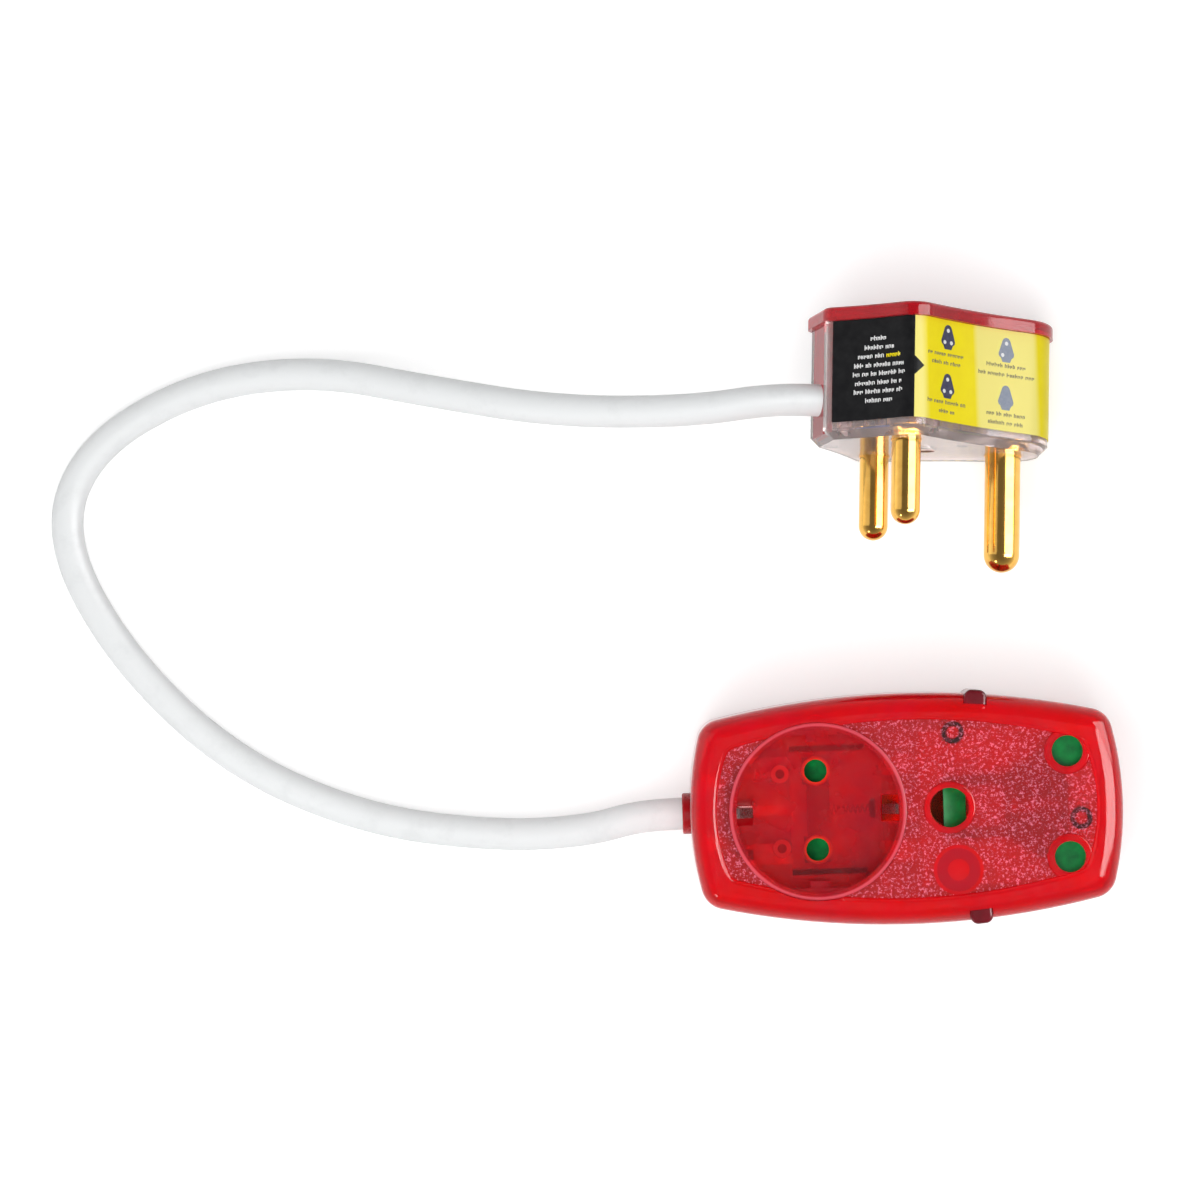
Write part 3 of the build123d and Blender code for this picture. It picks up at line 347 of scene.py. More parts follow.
def makeTinted(name, look):
    # See-through moulded plastic, cloudy where it flowed
    material, tree, shader, where = startMaterial(name, {
        "IOR": 1.50, "Specular IOR Level": look["specular"]})
    flow = ramp(tree, noise(tree, where, moulding["flow"], 4), *cloudy)
    colour = blendColour(tree, flow, look["clear"], look["deep"])
    smears = noise(tree, where, moulding["smears"], 5)
    dullest = look["gloss"] + moulding["smearGloss"]
    gloss = ramp(tree, smears, *moulding["smearSpan"], look["gloss"], dullest)
    haze = noise(tree, where, moulding["haze"], 3)
    through = ramp(tree, haze, *evenly, look["through"], look["through"] - moulding["hazeLoss"])
    height = noise(tree, where, moulding["waves"], 4)
    strength, depth = moulding["bump"]
    if name == "housingRed":
        colour, gloss, through, height = frostPanel(tree, where, colour, gloss, through, height)
        strength = panel["bump"]
    # Painted glow, painted highlights and painted shade in the recess
    if name == "recessRed":
        colour, through = paintRecessLight(tree, where, colour, through)
    tree.links.new(colour, shader.inputs["Base Color"])
    tree.links.new(gloss, shader.inputs["Roughness"])
    tree.links.new(through, shader.inputs["Transmission Weight"])
    bump(tree, shader, height, strength, depth)
    return material


# Here size is that of the clouds, and bump the size, strength and depth of the bumps

solid = {
    "shutterGreen": {
        "first": (0.001, 0.24, 0.045), "second": (0.001, 0.11, 0.025), "specular": 0.15,
        "size": 4, "gloss": (0.28, 0.42), "bump": (0.8, 0.15, 0.05),
    },
    "innerWhite": {
        "first": (0.80, 0.78, 0.74), "second": (0.70, 0.68, 0.64), "size": 8,
        "gloss": (0.38, 0.5), "bump": (1.2, 0.15, 0.05),
    },
    "coreBrown": {
        "first": (0.16, 0.06, 0.025), "second": (0.12, 0.045, 0.02), "size": 2,
        "gloss": (0.3, 0.4), "bump": (0.6, 0.1, 0.04),
    },
    "coreBlue": {
        "first": (0.02, 0.10, 0.48), "second": (0.015, 0.07, 0.38), "size": 2,
        "gloss": (0.3, 0.4), "bump": (0.6, 0.1, 0.04),
    },
    "boardGreen": {
        "first": (0.02, 0.16, 0.06), "second": (0.015, 0.11, 0.045), "size": 1.5,
        "gloss": (0.25, 0.4), "bump": (0.4, 0.2, 0.05),
    },
    "varistorBlue": {
        "first": (0.02, 0.07, 0.30), "second": (0.015, 0.05, 0.22), "size": 1.0,
        "gloss": (0.2, 0.3), "bump": (0.7, 0.35, 0.08),
    },
    "fuseWhite": {
        "first": (0.75, 0.73, 0.69), "second": (0.66, 0.64, 0.60), "size": 1.0,
        "gloss": (0.3, 0.45), "bump": (0.3, 0.2, 0.04),
    },
    "labelBlack": {
        "first": (0.006, 0.006, 0.007), "second": (0.012, 0.012, 0.013), "size": 2.5,
        "specular": 0.12, "gloss": (0.30, 0.40), "bump": (0.5, 0.06, 0.02),
    },
    "labelYellow": {
        "first": (0.94, 0.78, 0.003), "second": (0.90, 0.73, 0.002), "size": 5, "specular": 0.1,
        "gloss": (0.28, 0.38), "bump": (0.5, 0.06, 0.02),
    },
    "inkWhite": {
        "first": (0.80, 0.80, 0.80), "second": (0.72, 0.72, 0.72), "size": 0.6,
        "gloss": (0.35, 0.45), "bump": (0.3, 0.1, 0.02),
    },
    "inkDark": {
        "first": (0.012, 0.012, 0.05), "second": (0.03, 0.03, 0.08), "size": 0.8,
        "gloss": (0.3, 0.4), "bump": (0.3, 0.1, 0.02),
    },
    "inkOlive": {
        "first": (0.17, 0.14, 0.06), "second": (0.24, 0.20, 0.08), "size": 0.8,
        "gloss": (0.3, 0.4), "bump": (0.3, 0.1, 0.02),
    },
    "inkGrey": {
        "first": (0.17, 0.20, 0.27), "second": (0.22, 0.25, 0.32), "size": 0.8,
        "gloss": (0.3, 0.4), "bump": (0.3, 0.1, 0.02),
    },
}

# Painted sheen on the yellow: spans where it is paler
paintedSheenZones = {
    "spans": ((1.5, 7.6, 0.8), (20.1, 35.0, 0.6)),  # from, to and how soft the ends are
    "colour": (0.93, 0.82, 0.22),
}


def makeSolid(name, look):
    material, tree, shader, where = startMaterial(name, {
        "Specular IOR Level": look.get("specular", 0.3)})
    cloud = noise(tree, where, look["size"], 4)
    mottle = ramp(tree, cloud, *mottled)
    colour = blendColour(tree, mottle, look["first"], look["second"])
    if name == "labelYellow":
        # Painted sheen: the yellow is paler beside the ridge and on its right half, where the band
        # catches the light
        place = addNode(tree, "ShaderNodeSeparateXYZ", None, Vector=where)
        for left, right, soft in paintedSheenZones["spans"]:
            beyond = ramp(tree, place.outputs[0], (left - soft) * mm, (left + soft) * mm)
            before = ramp(tree, place.outputs[0], (right - soft) * mm, (right + soft) * mm, 1.0, 0.0)
            zone = maths(tree, "MULTIPLY", beyond, before)
            colour = blendColour(tree, zone, colour, paintedSheenZones["colour"])
    tree.links.new(colour, shader.inputs["Base Color"])
    tree.links.new(ramp(tree, cloud, *evenly, *look["gloss"]), shader.inputs["Roughness"])
    bumpNoise(tree, shader, where, look, 5)
    return material


metals = {
    "pinBrass": {
        "first": (0.86, 0.50, 0.12), "second": (0.80, 0.44, 0.09), "gloss": (0.10, 0.18),
        "bump": 0.10,
    },
    "contactBrass": {
        "first": (0.62, 0.17, 0.08), "second": (0.50, 0.12, 0.06), "gloss": (0.22, 0.38),
        "bump": 0.2,
    },
    "strapSteel": {
        "first": (0.52, 0.34, 0.34), "second": (0.40, 0.25, 0.25), "gloss": (0.2, 0.35),
        "bump": 0.2,
    },
    "screwSteel": {
        "first": (0.64, 0.64, 0.66), "second": (0.50, 0.50, 0.53), "gloss": (0.25, 0.4),
        "bump": 0.2,
    },
    "springWire": {
        "first": (0.66, 0.66, 0.68), "second": (0.54, 0.54, 0.57), "gloss": (0.2, 0.3),
        "bump": 0.15,
    },
}

wearMarks = {
    "stain": 3,        # size
    "scratch": 0.25,   # size
    "scratchSpan": (0.3, 0.75),
    "depth": 0.02,
}


def makeMetal(name, look):
    material, tree, shader, where = startMaterial(name, {"Metallic": 1.0})
    mottle = ramp(tree, noise(tree, where, wearMarks["stain"], 5), *cloudy)
    colour = blendColour(tree, mottle, look["first"], look["second"])
    tree.links.new(colour, shader.inputs["Base Color"])
    scratch = noise(tree, where, wearMarks["scratch"], 3)
    gloss = ramp(tree, scratch, *wearMarks["scratchSpan"], *look["gloss"])
    tree.links.new(gloss, shader.inputs["Roughness"])
    bump(tree, shader, scratch, look["bump"], wearMarks["depth"])
    return material


sheath = {
    "clean": (0.775, 0.79, 0.795),
    "scuffed": (0.71, 0.725, 0.73),
    "scuffs": 7,  # size
    "scuffSpan": (0.52, 0.78),
    "dull": 1.5,  # size
    "gloss": (0.36, 0.5),
    "bump": (1.1, 0.12, 0.06),
    "sockets": {
        "Subsurface Weight": 0.12,
        "Subsurface Radius": (0.004, 0.004, 0.004),
        "Subsurface Scale": 0.5,
    },
}


def makeCordWhite():
    material, tree, shader, where = startMaterial("cordWhite", sheath["sockets"])
    scuffs = ramp(tree, noise(tree, where, sheath["scuffs"], 5, 0.65), *sheath["scuffSpan"])
    colour = blendColour(tree, scuffs, sheath["clean"], sheath["scuffed"])
    tree.links.new(colour, shader.inputs["Base Color"])
    dull = noise(tree, where, sheath["dull"], 4)
    tree.links.new(ramp(tree, dull, *evenly, *sheath["gloss"]), shader.inputs["Roughness"])
    bumpNoise(tree, shader, where, sheath, 5)
    return material


earthStripe = {
    "green": (0.03, 0.28, 0.03),
    "yellow": (0.75, 0.62, 0.02),
    "size": 4,
    "wobble": 0.4,
    "edge": (0.45, 0.55),
    "dull": 1,  # size
    "gloss": (0.3, 0.42),
    "bump": (0.6, 0.1, 0.04),
}


def makeCoreEarth():
    # Green core with a yellow stripe that winds round it
    material, tree, shader, where = startMaterial("coreEarth", {})
    wave = addNode(tree, "ShaderNodeTexWave", {"wave_type": "BANDS", "bands_direction": "DIAGONAL"},
                   Vector=where, Scale=1 / (earthStripe["size"] * mm), Distortion=earthStripe["wobble"])
    stripe = ramp(tree, wave.outputs[0], *earthStripe["edge"])
    colour = blendColour(tree, stripe, earthStripe["green"], earthStripe["yellow"])
    tree.links.new(colour, shader.inputs["Base Color"])
    dull = noise(tree, where, earthStripe["dull"], 4)
    tree.links.new(ramp(tree, dull, *evenly, *earthStripe["gloss"]), shader.inputs["Roughness"])
    bumpNoise(tree, shader, where, earthStripe, 4)
    return material


# The pink in these colours is painted light: red light from the cap, tinting the clear base
clearPlastic = {
    "first": (0.94, 0.83, 0.81),
    "second": (0.87, 0.74, 0.75),
    "cloud": 9,
    "smears": 2,
    "gloss": (0.03, 0.10),
    "through": (0.93, 0.86),
    "bump": (4, 0.15, 0.15),
}


def makeClear():
    material, tree, shader, where = startMaterial("clearBase", {"IOR": 1.49})
    cloud = noise(tree, where, clearPlastic["cloud"], 4)
    mottle = ramp(tree, cloud, *cloudy)
    # Painted pink light from the cap
    tint = blendColour(tree, mottle, clearPlastic["first"], clearPlastic["second"])
    tree.links.new(tint, shader.inputs["Base Color"])
    smears = noise(tree, where, clearPlastic["smears"], 4)
    tree.links.new(ramp(tree, smears, *evenly, *clearPlastic["gloss"]), shader.inputs["Roughness"])
    through = ramp(tree, cloud, *evenly, *clearPlastic["through"])
    tree.links.new(through, shader.inputs["Transmission Weight"])
    bumpNoise(tree, shader, where, clearPlastic, 4)
    return material


lampGlass = {
    "first": (0.95, 0.42, 0.22),
    "second": (0.85, 0.30, 0.15),
    "cloud": 1.2,
    "gloss": (0.05, 0.15),
    "through": (0.8, 0.7),
}


def makeLamp():
    material, tree, shader, where = startMaterial("lampClear", {"IOR": 1.5})
    cloud = ramp(tree, noise(tree, where, lampGlass["cloud"], 3), *cloudy)
    tint = blendColour(tree, cloud, lampGlass["first"], lampGlass["second"])
    tree.links.new(tint, shader.inputs["Base Color"])
    tree.links.new(ramp(tree, cloud, 0, 1, *lampGlass["gloss"]), shader.inputs["Roughness"])
    tree.links.new(ramp(tree, cloud, 0, 1, *lampGlass["through"]), shader.inputs["Transmission Weight"])
    return material


finishes = {name: makeTinted(name, look) for name, look in tinted.items()}
finishes.update({name: makeSolid(name, look) for name, look in solid.items()})
finishes.update({name: makeMetal(name, look) for name, look in metals.items()})
finishes["cordWhite"] = makeCordWhite()
finishes["coreEarth"] = makeCoreEarth()
finishes["clearBase"] = makeClear()
finishes["lampClear"] = makeLamp()

finishOf = {
    "housingRed": ["upper_housing"],
    "trayRed": ["lower_housing"],
    "recessRed": ["socket_recess"],
    "clipRed": ["snap_clips"],
    "glandRed": ["cord_gland"],
    "shutterGreen": ["shutter", "round_shutter"],
    "innerWhite": ["cord_clamp", "plug_cord_clamp"],
    "innerRed": ["shutter_frame", "round_shutter_plate"],
    "contactBrass": ["live_socket", "neutral_socket", "earth_socket", "live_round_contact",
                     "neutral_round_contact", "live_bar", "neutral_bar", "earth_bar"],
    "strapSteel": ["earth_strap"],
    "screwSteel": ["housing_screws", "terminal_screws", "cord_clamp_screws", "plug_terminal_screws",
                   "plug_clamp_screws", "plug_cap_screw"],
    "coreBrown": ["live_core", "plug_live_core"],
    "coreBlue": ["neutral_core", "plug_neutral_core"],
    "coreEarth": ["earth_core", "plug_earth_core"],
    "cordWhite": ["cord_tail", "plug_cord_tail"],
    "clearBase": ["plug_base"],
    "capRed": ["plug_cap"],
    "saddleRed": ["plug_cord_saddle"],
    "pinBrass": ["plug_live_pin", "plug_neutral_pin", "plug_earth_pin"],
    "boardGreen": ["plug_circuit_board"],
    "varistorBlue": ["plug_varistors"],
    "lampClear": ["plug_lamps"],
    "fuseWhite": ["plug_thermal_fuse"],
}
for finish, names in finishOf.items():
    for name in names:
        nodes[name].material_slots[0].material = finishes[finish]
print("materials done")

# The bent cord takes the place of its solid

flex.data.materials.append(finishes["cordWhite"])
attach(flex, "coupler")
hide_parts("supply_cord")

# Where the plug lies: its own plan is in X and Y, its pins point along -Z

plug = {
    "origin": (-1.0, 86.8, 28.015),
    "yaw": -2.9,  # angles in degrees
    "rise": 9.2,
    "dip": 16.0,
}


def turned(axis, degrees):
    return Matrix.Rotation(math.radians(degrees), 4, axis)


plugPose = (Matrix.Translation(Vector(plug["origin"]) * mm) @ turned("Z", plug["yaw"])
            @ turned("X", -plug["rise"]) @ turned("Y", plug["dip"]) @ turned("X", -90))


def newPiece(name, mesh, materials):
    piece = bpy.data.objects.new(name, mesh)
    scene.collection.objects.link(piece)
    for material in materials:
        mesh.materials.append(finishes[material])
    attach(piece, "coupler")
    return piece


# Printed band round the plug

tiny = 1e-6
band = {
    "middle": 6.0,       # a point inside the plan, on its long axis
    "bottom": 3.8,
    "top": 28.5,
    "thickness": 0.2,
    "border": -1.5,      # the black part ends at the ridge
    "lift": 0.03,        # how far the ink stands off the band
    "sink": 0.1,         # how deep its foot goes into the band
    "near": 0.1,         # how close to the bottom edge a corner of the solid is taken from it
    "sharp": 30,         # edges that turn more than this many degrees stay sharp
}


def bandOutline():
    # The outside of the band's CAD solid in the plug's plan, from the cord end round the near side
    label = nodes["plug_label"].data
    back = plugPose.inverted()
    spots = {}
    for face in label.polygons:
        normal = back.to_3x3() @ face.normal
        middle = back @ face.center - Vector((band["middle"] * mm, 0, 0))
        level = abs(normal.z) > 0.5
        inside = normal.xy.dot(middle.xy) < 0
        endWall = normal.x < -0.9
        if level or inside or endWall:
            continue
        for index in face.vertices:
            spot = (back @ label.vertices[index].co) / mm
            if spot.z < band["bottom"] + band["near"]:
                spots[(round(spot.x, 2), round(spot.y, 2))] = Vector((spot.x, spot.y))

    def around(spot):
        # Angle from the cord end, going round by the near side
        turn = math.atan2(spot.y, spot.x - band["middle"]) % math.tau
        return (turn - math.pi) % math.tau

    return sorted(spots.values(), key=around)


outline = bandOutline()
lengths = [0.0]
for first, second in zip(outline, outline[1:]):
    lengths.append(lengths[-1] + (second - first).length)
print("band outline done,", round(lengths[-1], 1), "mm round")


def along(run):
    # Point and outward normal at a run along the band's outline
    run = min(max(run, 0.0), lengths[-1] - tiny)
    index = next(i for i in range(len(lengths) - 1) if lengths[i + 1] > run)
    first, second = outline[index], outline[index + 1]
    share = (run - lengths[index]) / (lengths[index + 1] - lengths[index])
    spot = first.lerp(second, share)
    way = (second - first).normalized()
    return spot, Vector((way.y, -way.x))


def onBand(run, height, lift):
    spot, out = along(run)
    spot = spot + out * lift
    return plugPose @ (Vector((spot.x, spot.y, height)) * mm)


def runAt(x, near=True):
    # Run at which the outline passes x on the near or the far side
    side = [(run, spot) for run, spot in zip(lengths, outline) if (spot.y < 0) == near]
    return min(side, key=lambda pair: abs(pair[1].x - x))[0]


def makeBand():
    shell = bmesh.new()
    borders = [runAt(band["border"]), runAt(band["border"], near=False)]
    runs = sorted(set(lengths) | set(borders))
    columns = []
    for run in runs:
        corners = [onBand(run, height, lift) for height, lift in (
            (band["bottom"], 0), (band["top"], 0), (band["top"], -band["thickness"]),
            (band["bottom"], -band["thickness"]))]
        columns.append([shell.verts.new(corner) for corner in corners])
    for run, column, following in zip(runs, columns, columns[1:]):
        dark = run < borders[0] - tiny or run >= borders[1] - tiny
        for index in range(4):
            after = (index + 1) % 4
            face = shell.faces.new((column[index], following[index], following[after], column[after]))
            face.material_index = 0 if dark else 1
            face.smooth = index in (0, 2)
    shell.faces.new(columns[0])
    shell.faces.new(reversed(columns[-1]))
    bmesh.ops.recalc_face_normals(shell, faces=shell.faces)
    for edge in shell.edges:
        if len(edge.link_faces) == 2 and edge.calc_face_angle() > math.radians(band["sharp"]):
            edge.smooth = False
    mesh = bpy.data.meshes.new("plugBand")
    shell.to_mesh(mesh)
    shell.free()
    piece = newPiece("plugBand", mesh, ["labelBlack", "labelYellow"])
    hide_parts("plug_label")
    return piece, borders


plugBand, borders = makeBand()

inks = ("inkWhite", "inkDark", "inkGrey", "labelBlack", "inkOlive", "labelYellow")


def inkPatch(shell, shape, ink, layer=1):
    # A flat shape of ink on the band, as an outline in run and height; layer 2 stands over layer 1
    foot, top = [[shell.verts.new(onBand(run, height, lift)) for run, height in shape]
                 for lift in (-band["sink"] / layer, band["lift"] * layer)]
    faces = [shell.faces.new(reversed(foot)), shell.faces.new(top)]
    for index in range(len(shape)):
        after = (index + 1) % len(shape)
        faces.append(shell.faces.new((foot[index], foot[after], top[after], top[index])))
    for face in faces:
        face.material_index = inks.index(ink)


signs = {
    "stroke": 0.24,
    "wide": (0.55, 0.8),
    "gap": 0.18,                   # between two signs
    "space": 0.55,                 # added between two words
    "word": (2, 6),                # signs in a word
    "least": 1.0,                  # no word starts closer than this to the end of its line
    "rises": (0.72, 0.74, 1.0),    # shares of the line's height, as are the next three
    "shoulder": 0.72,
    "foot": 0.28,
    "bar": (0.36, 0.3),
    "barStroke": 0.8,              # share of the stroke
}


def inkWords(shell, draw, middle, height, width, tall, ink, accent=None):
    # A line of plain signs that spell nothing, where the real band has small print
    run = middle - width / 2
    end = middle + width / 2
    stroke = signs["stroke"]
    foot = height - tall / 2
    barLow, barSpread = signs["bar"]
    word = 0
    while run < end - signs["least"]:
        wordInk = accent["ink"] if accent and word == accent["word"] else ink
        for _ in range(draw.randint(*signs["word"])):
            wide = draw.uniform(*signs["wide"])
            if run + wide > end:
                break
            low = foot + signs["foot"] * tall * draw.random()
            rise = foot + tall * draw.choice(signs["rises"])
            bar = foot + barLow * tall + barSpread * tall * draw.random()
            for left, right, bottom, top in (
                    (run, run + stroke, foot, rise),
                    (run + wide - stroke, run + wide, low, foot + signs["shoulder"] * tall),
                    (run + stroke, run + wide - stroke, bar, bar + stroke * signs["barStroke"])):
                box = [(left, bottom), (right, bottom), (right, top), (left, top)]
                inkPatch(shell, box, wordInk)
            run += wide + signs["gap"]
        run += signs["space"]
        word += 1


def arc(middle, height, radius, start, end, steps):
    # Points in run and height on an arc between two angles in degrees
    angles = [math.radians(start + (end - start) * step / steps) for step in range(steps + 1)]
    return [(middle + radius * math.cos(angle), height + radius * math.sin(angle)) for angle in angles]


pear = {
    "wide": 4.6,
    "tall": 6.0,
    "lobe": 1.25,     # radius of the narrow end
    "corner": 1.0,    # radius of the two wide corners
    "cornerAt": 2.0,  # their height over the foot
    "foot": 1.1,      # half the width of the flat foot
    "dots": ((0, 1.6), (-1.1, -1.3), (1.1, -1.3)),
    "dot": 0.5,
}


def pearShape(middle, height):
    # Plan of a plug, its narrow earth end up, as an outline in run and height
    corner = pear["corner"]
    reach = pear["wide"] / 2 - corner
    low = height - pear["tall"] / 2
    side = low + pear["cornerAt"]
    return (arc(middle, height + pear["tall"] / 2 - pear["lobe"], pear["lobe"], 20, 160, 8)
            + arc(middle - reach, side, corner, 170, 250, 5)
            + [(middle - pear["foot"], low), (middle + pear["foot"], low)]
            + arc(middle + reach, side, corner, 290, 370, 5))


def dot(middle, height):
    return arc(middle, height, pear["dot"], 0, 360, 12)[:-1]


printing = {
    "rows": (  # width and height of each line on the black part
        (5.3, 23.6), (8.5, 21.4), (12.0, 19.3), (14.0, 17.1),
        (14.6, 15.0), (13.4, 12.8), (14.0, 10.7), (7.8, 8.5),
    ),
    "rowMiddle": 0.575,  # share of the black part's run
    "rowTall": 1.15,
    "rowInk": "inkWhite",
    "accent": {"row": 2, "word": 2, "ink": "labelYellow"},
    "arrow": {"height": 16.4, "half": 2.3, "long": 2.4, "strips": 8, "ink": "labelBlack"},
    "pears": (  # run past the border, height, ink, dots, and width and height of each caption
        (10.3, 24.3, "inkDark", (0, 1, 2), ((13.6, 20.1), (10.8, 18.0))),
        (10.3, 12.4, "inkDark", (0, 1, 2), ((13.6, 8.4), (5.6, 6.2))),
        (28.8, 23.6, "inkGrey", (0, 1), ((12.0, 19.7), (17.0, 17.5))),
        (28.8, 11.9, "inkGrey", (), ((11.6, 7.8), (10.6, 5.7))),
    ),
    "dotInk": "inkWhite",
    "captionTall": 1.0,
    "captionInk": "inkOlive",
    "seed": 11,
}


def printSide(side, near):
    # The print of one side: rows on the black part, an arrow and four pear figures on the yellow
    draw = random.Random(printing["seed"])
    shell = bmesh.new()
    start, border = (0.0, borders[0]) if near else (lengths[-1], borders[1])
    way = 1 if near else -1
    rowMiddle = start + (border - start) * printing["rowMiddle"]
    for row, (width, height) in enumerate(printing["rows"]):
        accent = printing["accent"] if row == printing["accent"]["row"] else None
        inkWords(shell, draw, rowMiddle, height, width, printing["rowTall"], printing["rowInk"], accent)
    arrow = printing["arrow"]
    for step in range(arrow["strips"]):
        (left, half), (right, less) = [
            (border + way * arrow["long"] * share, arrow["half"] * (1 - share))
            for share in (step / arrow["strips"], (step + 1) / arrow["strips"])]
        strip = [(left, arrow["height"] - half), (right, arrow["height"] - less),
                 (right, arrow["height"] + less), (left, arrow["height"] + half)]
        inkPatch(shell, strip if near else strip[::-1], arrow["ink"])
    for offset, height, ink, dots, captions in printing["pears"]:
        middle = border + way * offset
        inkPatch(shell, pearShape(middle, height), ink)
        for place in dots:
            x, y = pear["dots"][place]
            inkPatch(shell, dot(middle + x, height + y), printing["dotInk"], layer=2)
        for width, captionHeight in captions:
            inkWords(shell, draw, middle, captionHeight, width, printing["captionTall"],
                     printing["captionInk"])
    bmesh.ops.recalc_face_normals(shell, faces=shell.faces)
    mesh = bpy.data.meshes.new(side)
    shell.to_mesh(mesh)
    shell.free()
    return newPiece(side, mesh, inks)


plugPrint = [printSide("printNear", True), printSide("printFar", False)]
print("band done")

# Coil springs

coilSteps = 24  # to a turn
wireSides = 10
coils = {
    "shutterCoil": {
        "node": "shutter_spring",
        "joint": "shutter_slide",
        "turns": 6.0,
        "wire": 0.2,     # radius
        "fixed": 26.32,  # x of the end that stays
        "keep": 0.228,   # share of the length left at the joint's limit
    },
    "roundShutterCoil": {
        "node": "round_shutter_spring",
        "joint": "round_shutter_slide",
        "turns": 8.0,
        "wire": 0.2,
        "fixed": -8.6,
        "keep": 0.354,
    },
}


def coilTree():
    # Wire along a spiral that lies on the X axis
    tree = bpy.data.node_groups.new("coilSpring", "GeometryNodeTree")
    face = tree.interface
    face.new_socket("Geometry", in_out="OUTPUT", socket_type="NodeSocketGeometry")
    for name in ("Radius", "Length", "Turns", "Wire"):
        face.new_socket(name, in_out="INPUT", socket_type="NodeSocketFloat")
    face.new_socket("Finish", in_out="INPUT", socket_type="NodeSocketMaterial")
    given = tree.nodes.new("NodeGroupInput")
    made = tree.nodes.new("NodeGroupOutput")
    spiral = tree.nodes.new("GeometryNodeCurveSpiral")
    spiral.inputs["Resolution"].default_value = coilSteps
    tree.links.new(given.outputs["Turns"], spiral.inputs["Rotations"])
    tree.links.new(given.outputs["Radius"], spiral.inputs["Start Radius"])
    tree.links.new(given.outputs["Radius"], spiral.inputs["End Radius"])
    tree.links.new(given.outputs["Length"], spiral.inputs["Height"])
    laid = tree.nodes.new("GeometryNodeTransform")
    laid.inputs["Rotation"].default_value = (0, math.pi / 2, 0)
    tree.links.new(spiral.outputs["Curve"], laid.inputs["Geometry"])
    profile = tree.nodes.new("GeometryNodeCurvePrimitiveCircle")
    profile.inputs["Resolution"].default_value = wireSides
    tree.links.new(given.outputs["Wire"], profile.inputs["Radius"])
    tube = tree.nodes.new("GeometryNodeCurveToMesh")
    tube.inputs["Fill Caps"].default_value = True
    tree.links.new(laid.outputs["Geometry"], tube.inputs["Curve"])
    tree.links.new(profile.outputs["Curve"], tube.inputs["Profile Curve"])
    smooth = tree.nodes.new("GeometryNodeSetShadeSmooth")
    tree.links.new(tube.outputs["Mesh"], smooth.inputs["Geometry"])
    real = tree.nodes.new("GeometryNodeRealizeInstances")
    tree.links.new(smooth.outputs["Geometry"], real.inputs["Geometry"])
    dressed = tree.nodes.new("GeometryNodeSetMaterial")
    tree.links.new(real.outputs["Geometry"], dressed.inputs["Geometry"])
    tree.links.new(given.outputs["Finish"], dressed.inputs["Material"])
    tree.links.new(dressed.outputs["Geometry"], made.inputs["Geometry"])
    return tree


def grownMesh(name, tree, values):
    # The mesh that a node tree makes from these inputs
    carrier = bpy.data.objects.new(name, bpy.data.meshes.new(name))
    scene.collection.objects.link(carrier)
    modifier = carrier.modifiers.new(name, "NODES")
    modifier.node_group = tree
    for item in tree.interface.items_tree:
        if item.in_out == "INPUT" and item.name in values:
            modifier[item.identifier] = values[item.name]
    bpy.context.view_layer.update()
    reader = bpy.context.evaluated_depsgraph_get()
    mesh = bpy.data.meshes.new_from_object(carrier.evaluated_get(reader), depsgraph=reader)
    carrier.modifiers.remove(modifier)
    bpy.data.objects.remove(carrier)
    return mesh


def makeCoils():
    tree = coilTree()
    for name, coil in coils.items():
        low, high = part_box(coil["node"])
        wire = coil["wire"] * mm
        radius = (high.z - low.z) / 2 - wire
        length = high.x - low.x - 2 * wire
        mesh = grownMesh(name, tree, {"Radius": radius, "Length": length, "Turns": coil["turns"],
                                      "Wire": wire, "Finish": finishes["springWire"]})
        middle = (low + high) / 2
        mesh.transform(Matrix.Translation((low.x + wire, middle.y, middle.z)))
        piece = bpy.data.objects.new(name, mesh)
        scene.collection.objects.link(piece)
        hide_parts(coil["node"])
        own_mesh(piece)
        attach(piece, "coupler")


makeCoils()
print("springs done")

# Floor and light

studio = {
    "floor": 4000.0,
    "drop": 0.05,   # the floor lies this far under the object
    "paper": 0.72,
    "glow": 0.50,
    "aim": (10, 20, 20),
    # A soft lamp isn't seen in reflections, and a card is seen in nothing else
    "lamps": {
        "key": {"at": (-160, -330, 1400), "wide": 1200, "tall": 1200, "power": 20.5, "soft": True},
        "rim": {"at": (640, -20, 700), "wide": 900, "tall": 260, "power": 7.0, "card": True},
        "pins": {"at": (640, 330, 560), "wide": 900, "tall": 460, "power": 7.8, "card": True},
        "left": {"at": (-700, 380, 420), "wide": 900, "tall": 500, "power": 0.8, "card": True},
        "corner": {"at": (-420, -420, 420), "wide": 120, "tall": 120, "power": 0.35, "card": True},
    },
    "beyond": 0.8,  # how bright the surroundings are behind see-through plastic
    "sky": ((0.0, 1.0), (0.22, 0.62), (0.5, 0.34), (0.88, 0.18)),
}


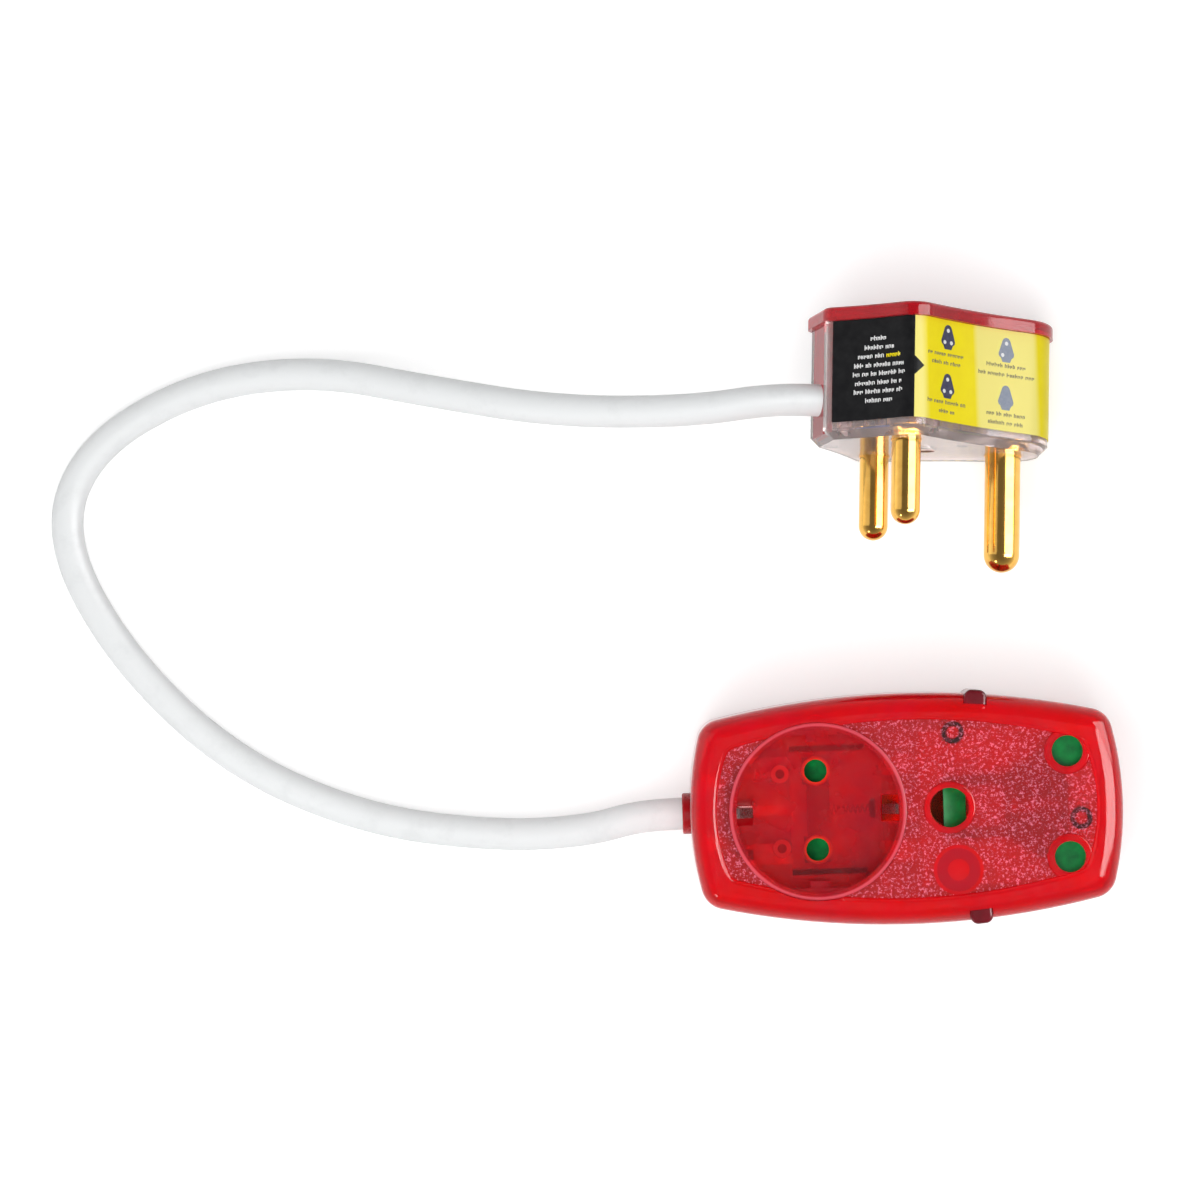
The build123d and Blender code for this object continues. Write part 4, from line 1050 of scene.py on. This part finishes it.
def makeFloor():
    half = studio["floor"] / 2 * mm
    level = -studio["drop"] * mm
    mesh = bpy.data.meshes.new("floor")
    corners = [(-half, -half, level), (half, -half, level), (half, half, level), (-half, half, level)]
    mesh.from_pydata(corners, [], [(0, 1, 2, 3)])
    floor = bpy.data.objects.new("floor", mesh)
    scene.collection.objects.link(floor)
    material = bpy.data.materials.new("paper")
    material.use_nodes = True
    tree = material.node_tree
    tree.nodes.clear()
    paper = addNode(tree, "ShaderNodeBsdfDiffuse", None, Color=(studio["paper"],) * 3 + (1,))
    path = addNode(tree, "ShaderNodeLightPath")
    seenIn = maths(tree, "MAXIMUM", path.outputs["Is Glossy Ray"], path.outputs["Is Transmission Ray"])
    seen = maths(tree, "MAXIMUM", path.outputs["Is Camera Ray"], seenIn)
    glow = addNode(tree, "ShaderNodeEmission", None, Color=(1, 1, 1, 1),
                   Strength=maths(tree, "MULTIPLY", seen, studio["glow"]))
    both = addNode(tree, "ShaderNodeAddShader", None, i0=paper.outputs[0], i1=glow.outputs[0])
    addNode(tree, "ShaderNodeOutputMaterial", None, Surface=both.outputs[0])
    mesh.materials.append(material)


def makeLight(name, light):
    data = bpy.data.lights.new(name, "AREA")
    data.shape = "RECTANGLE"
    data.size = light["wide"] * mm
    data.size_y = light["tall"] * mm
    data.energy = light["power"]
    lamp = bpy.data.objects.new(name, data)
    lamp.location = Vector(light["at"]) * mm
    ahead = (lamp.location - Vector(studio["aim"]) * mm).normalized()
    beside = Vector((0, 1, 0)).cross(ahead).normalized()
    turn = Matrix((beside, ahead.cross(beside), ahead)).transposed().to_4x4()
    lamp.matrix_world = Matrix.Translation(lamp.location) @ turn
    lamp.visible_camera = False
    lamp.visible_diffuse = not light.get("card", False)
    lamp.visible_glossy = not light.get("soft", False)
    scene.collection.objects.link(lamp)


def makeWorld():
    # A dim ceiling over bright walls; the camera sees it white
    world = bpy.data.worlds.new("studio")
    world.use_nodes = True
    tree = world.node_tree
    sky = tree.nodes["Background"]
    way = addNode(tree, "ShaderNodeTexCoord").outputs["Generated"]
    height = addNode(tree, "ShaderNodeSeparateXYZ", None, Vector=way).outputs[2]
    grey = addNode(tree, "ShaderNodeValToRGB", None, Fac=height)
    stops = grey.color_ramp.elements
    while len(stops) < len(studio["sky"]):
        stops.new(0.5)
    for stop, (place, value) in zip(stops, studio["sky"]):
        stop.position = place
        stop.color = (value, value, value, 1)
    rays = addNode(tree, "ShaderNodeLightPath")
    beyond = (studio["beyond"],) * 3
    through = blendColour(tree, rays.outputs["Is Transmission Ray"], grey.outputs[0], beyond)
    seen = blendColour(tree, rays.outputs["Is Camera Ray"], through, (1.0, 1.0, 1.0))
    tree.links.new(seen, sky.inputs["Color"])
    sky.inputs["Strength"].default_value = 1.0
    scene.world = world


makeFloor()
for name, light in studio["lamps"].items():
    makeLight(name, light)
makeWorld()
print("studio done")

# The cord and the pieces that go where its plug goes

onCord = [node for name, node in sorted(nodes.items())
          if name.startswith("plug_") and name != "plug_label"]
onCord += [nodes["cord_gland"], nodes["cord_tail"], plugBand, *plugPrint]
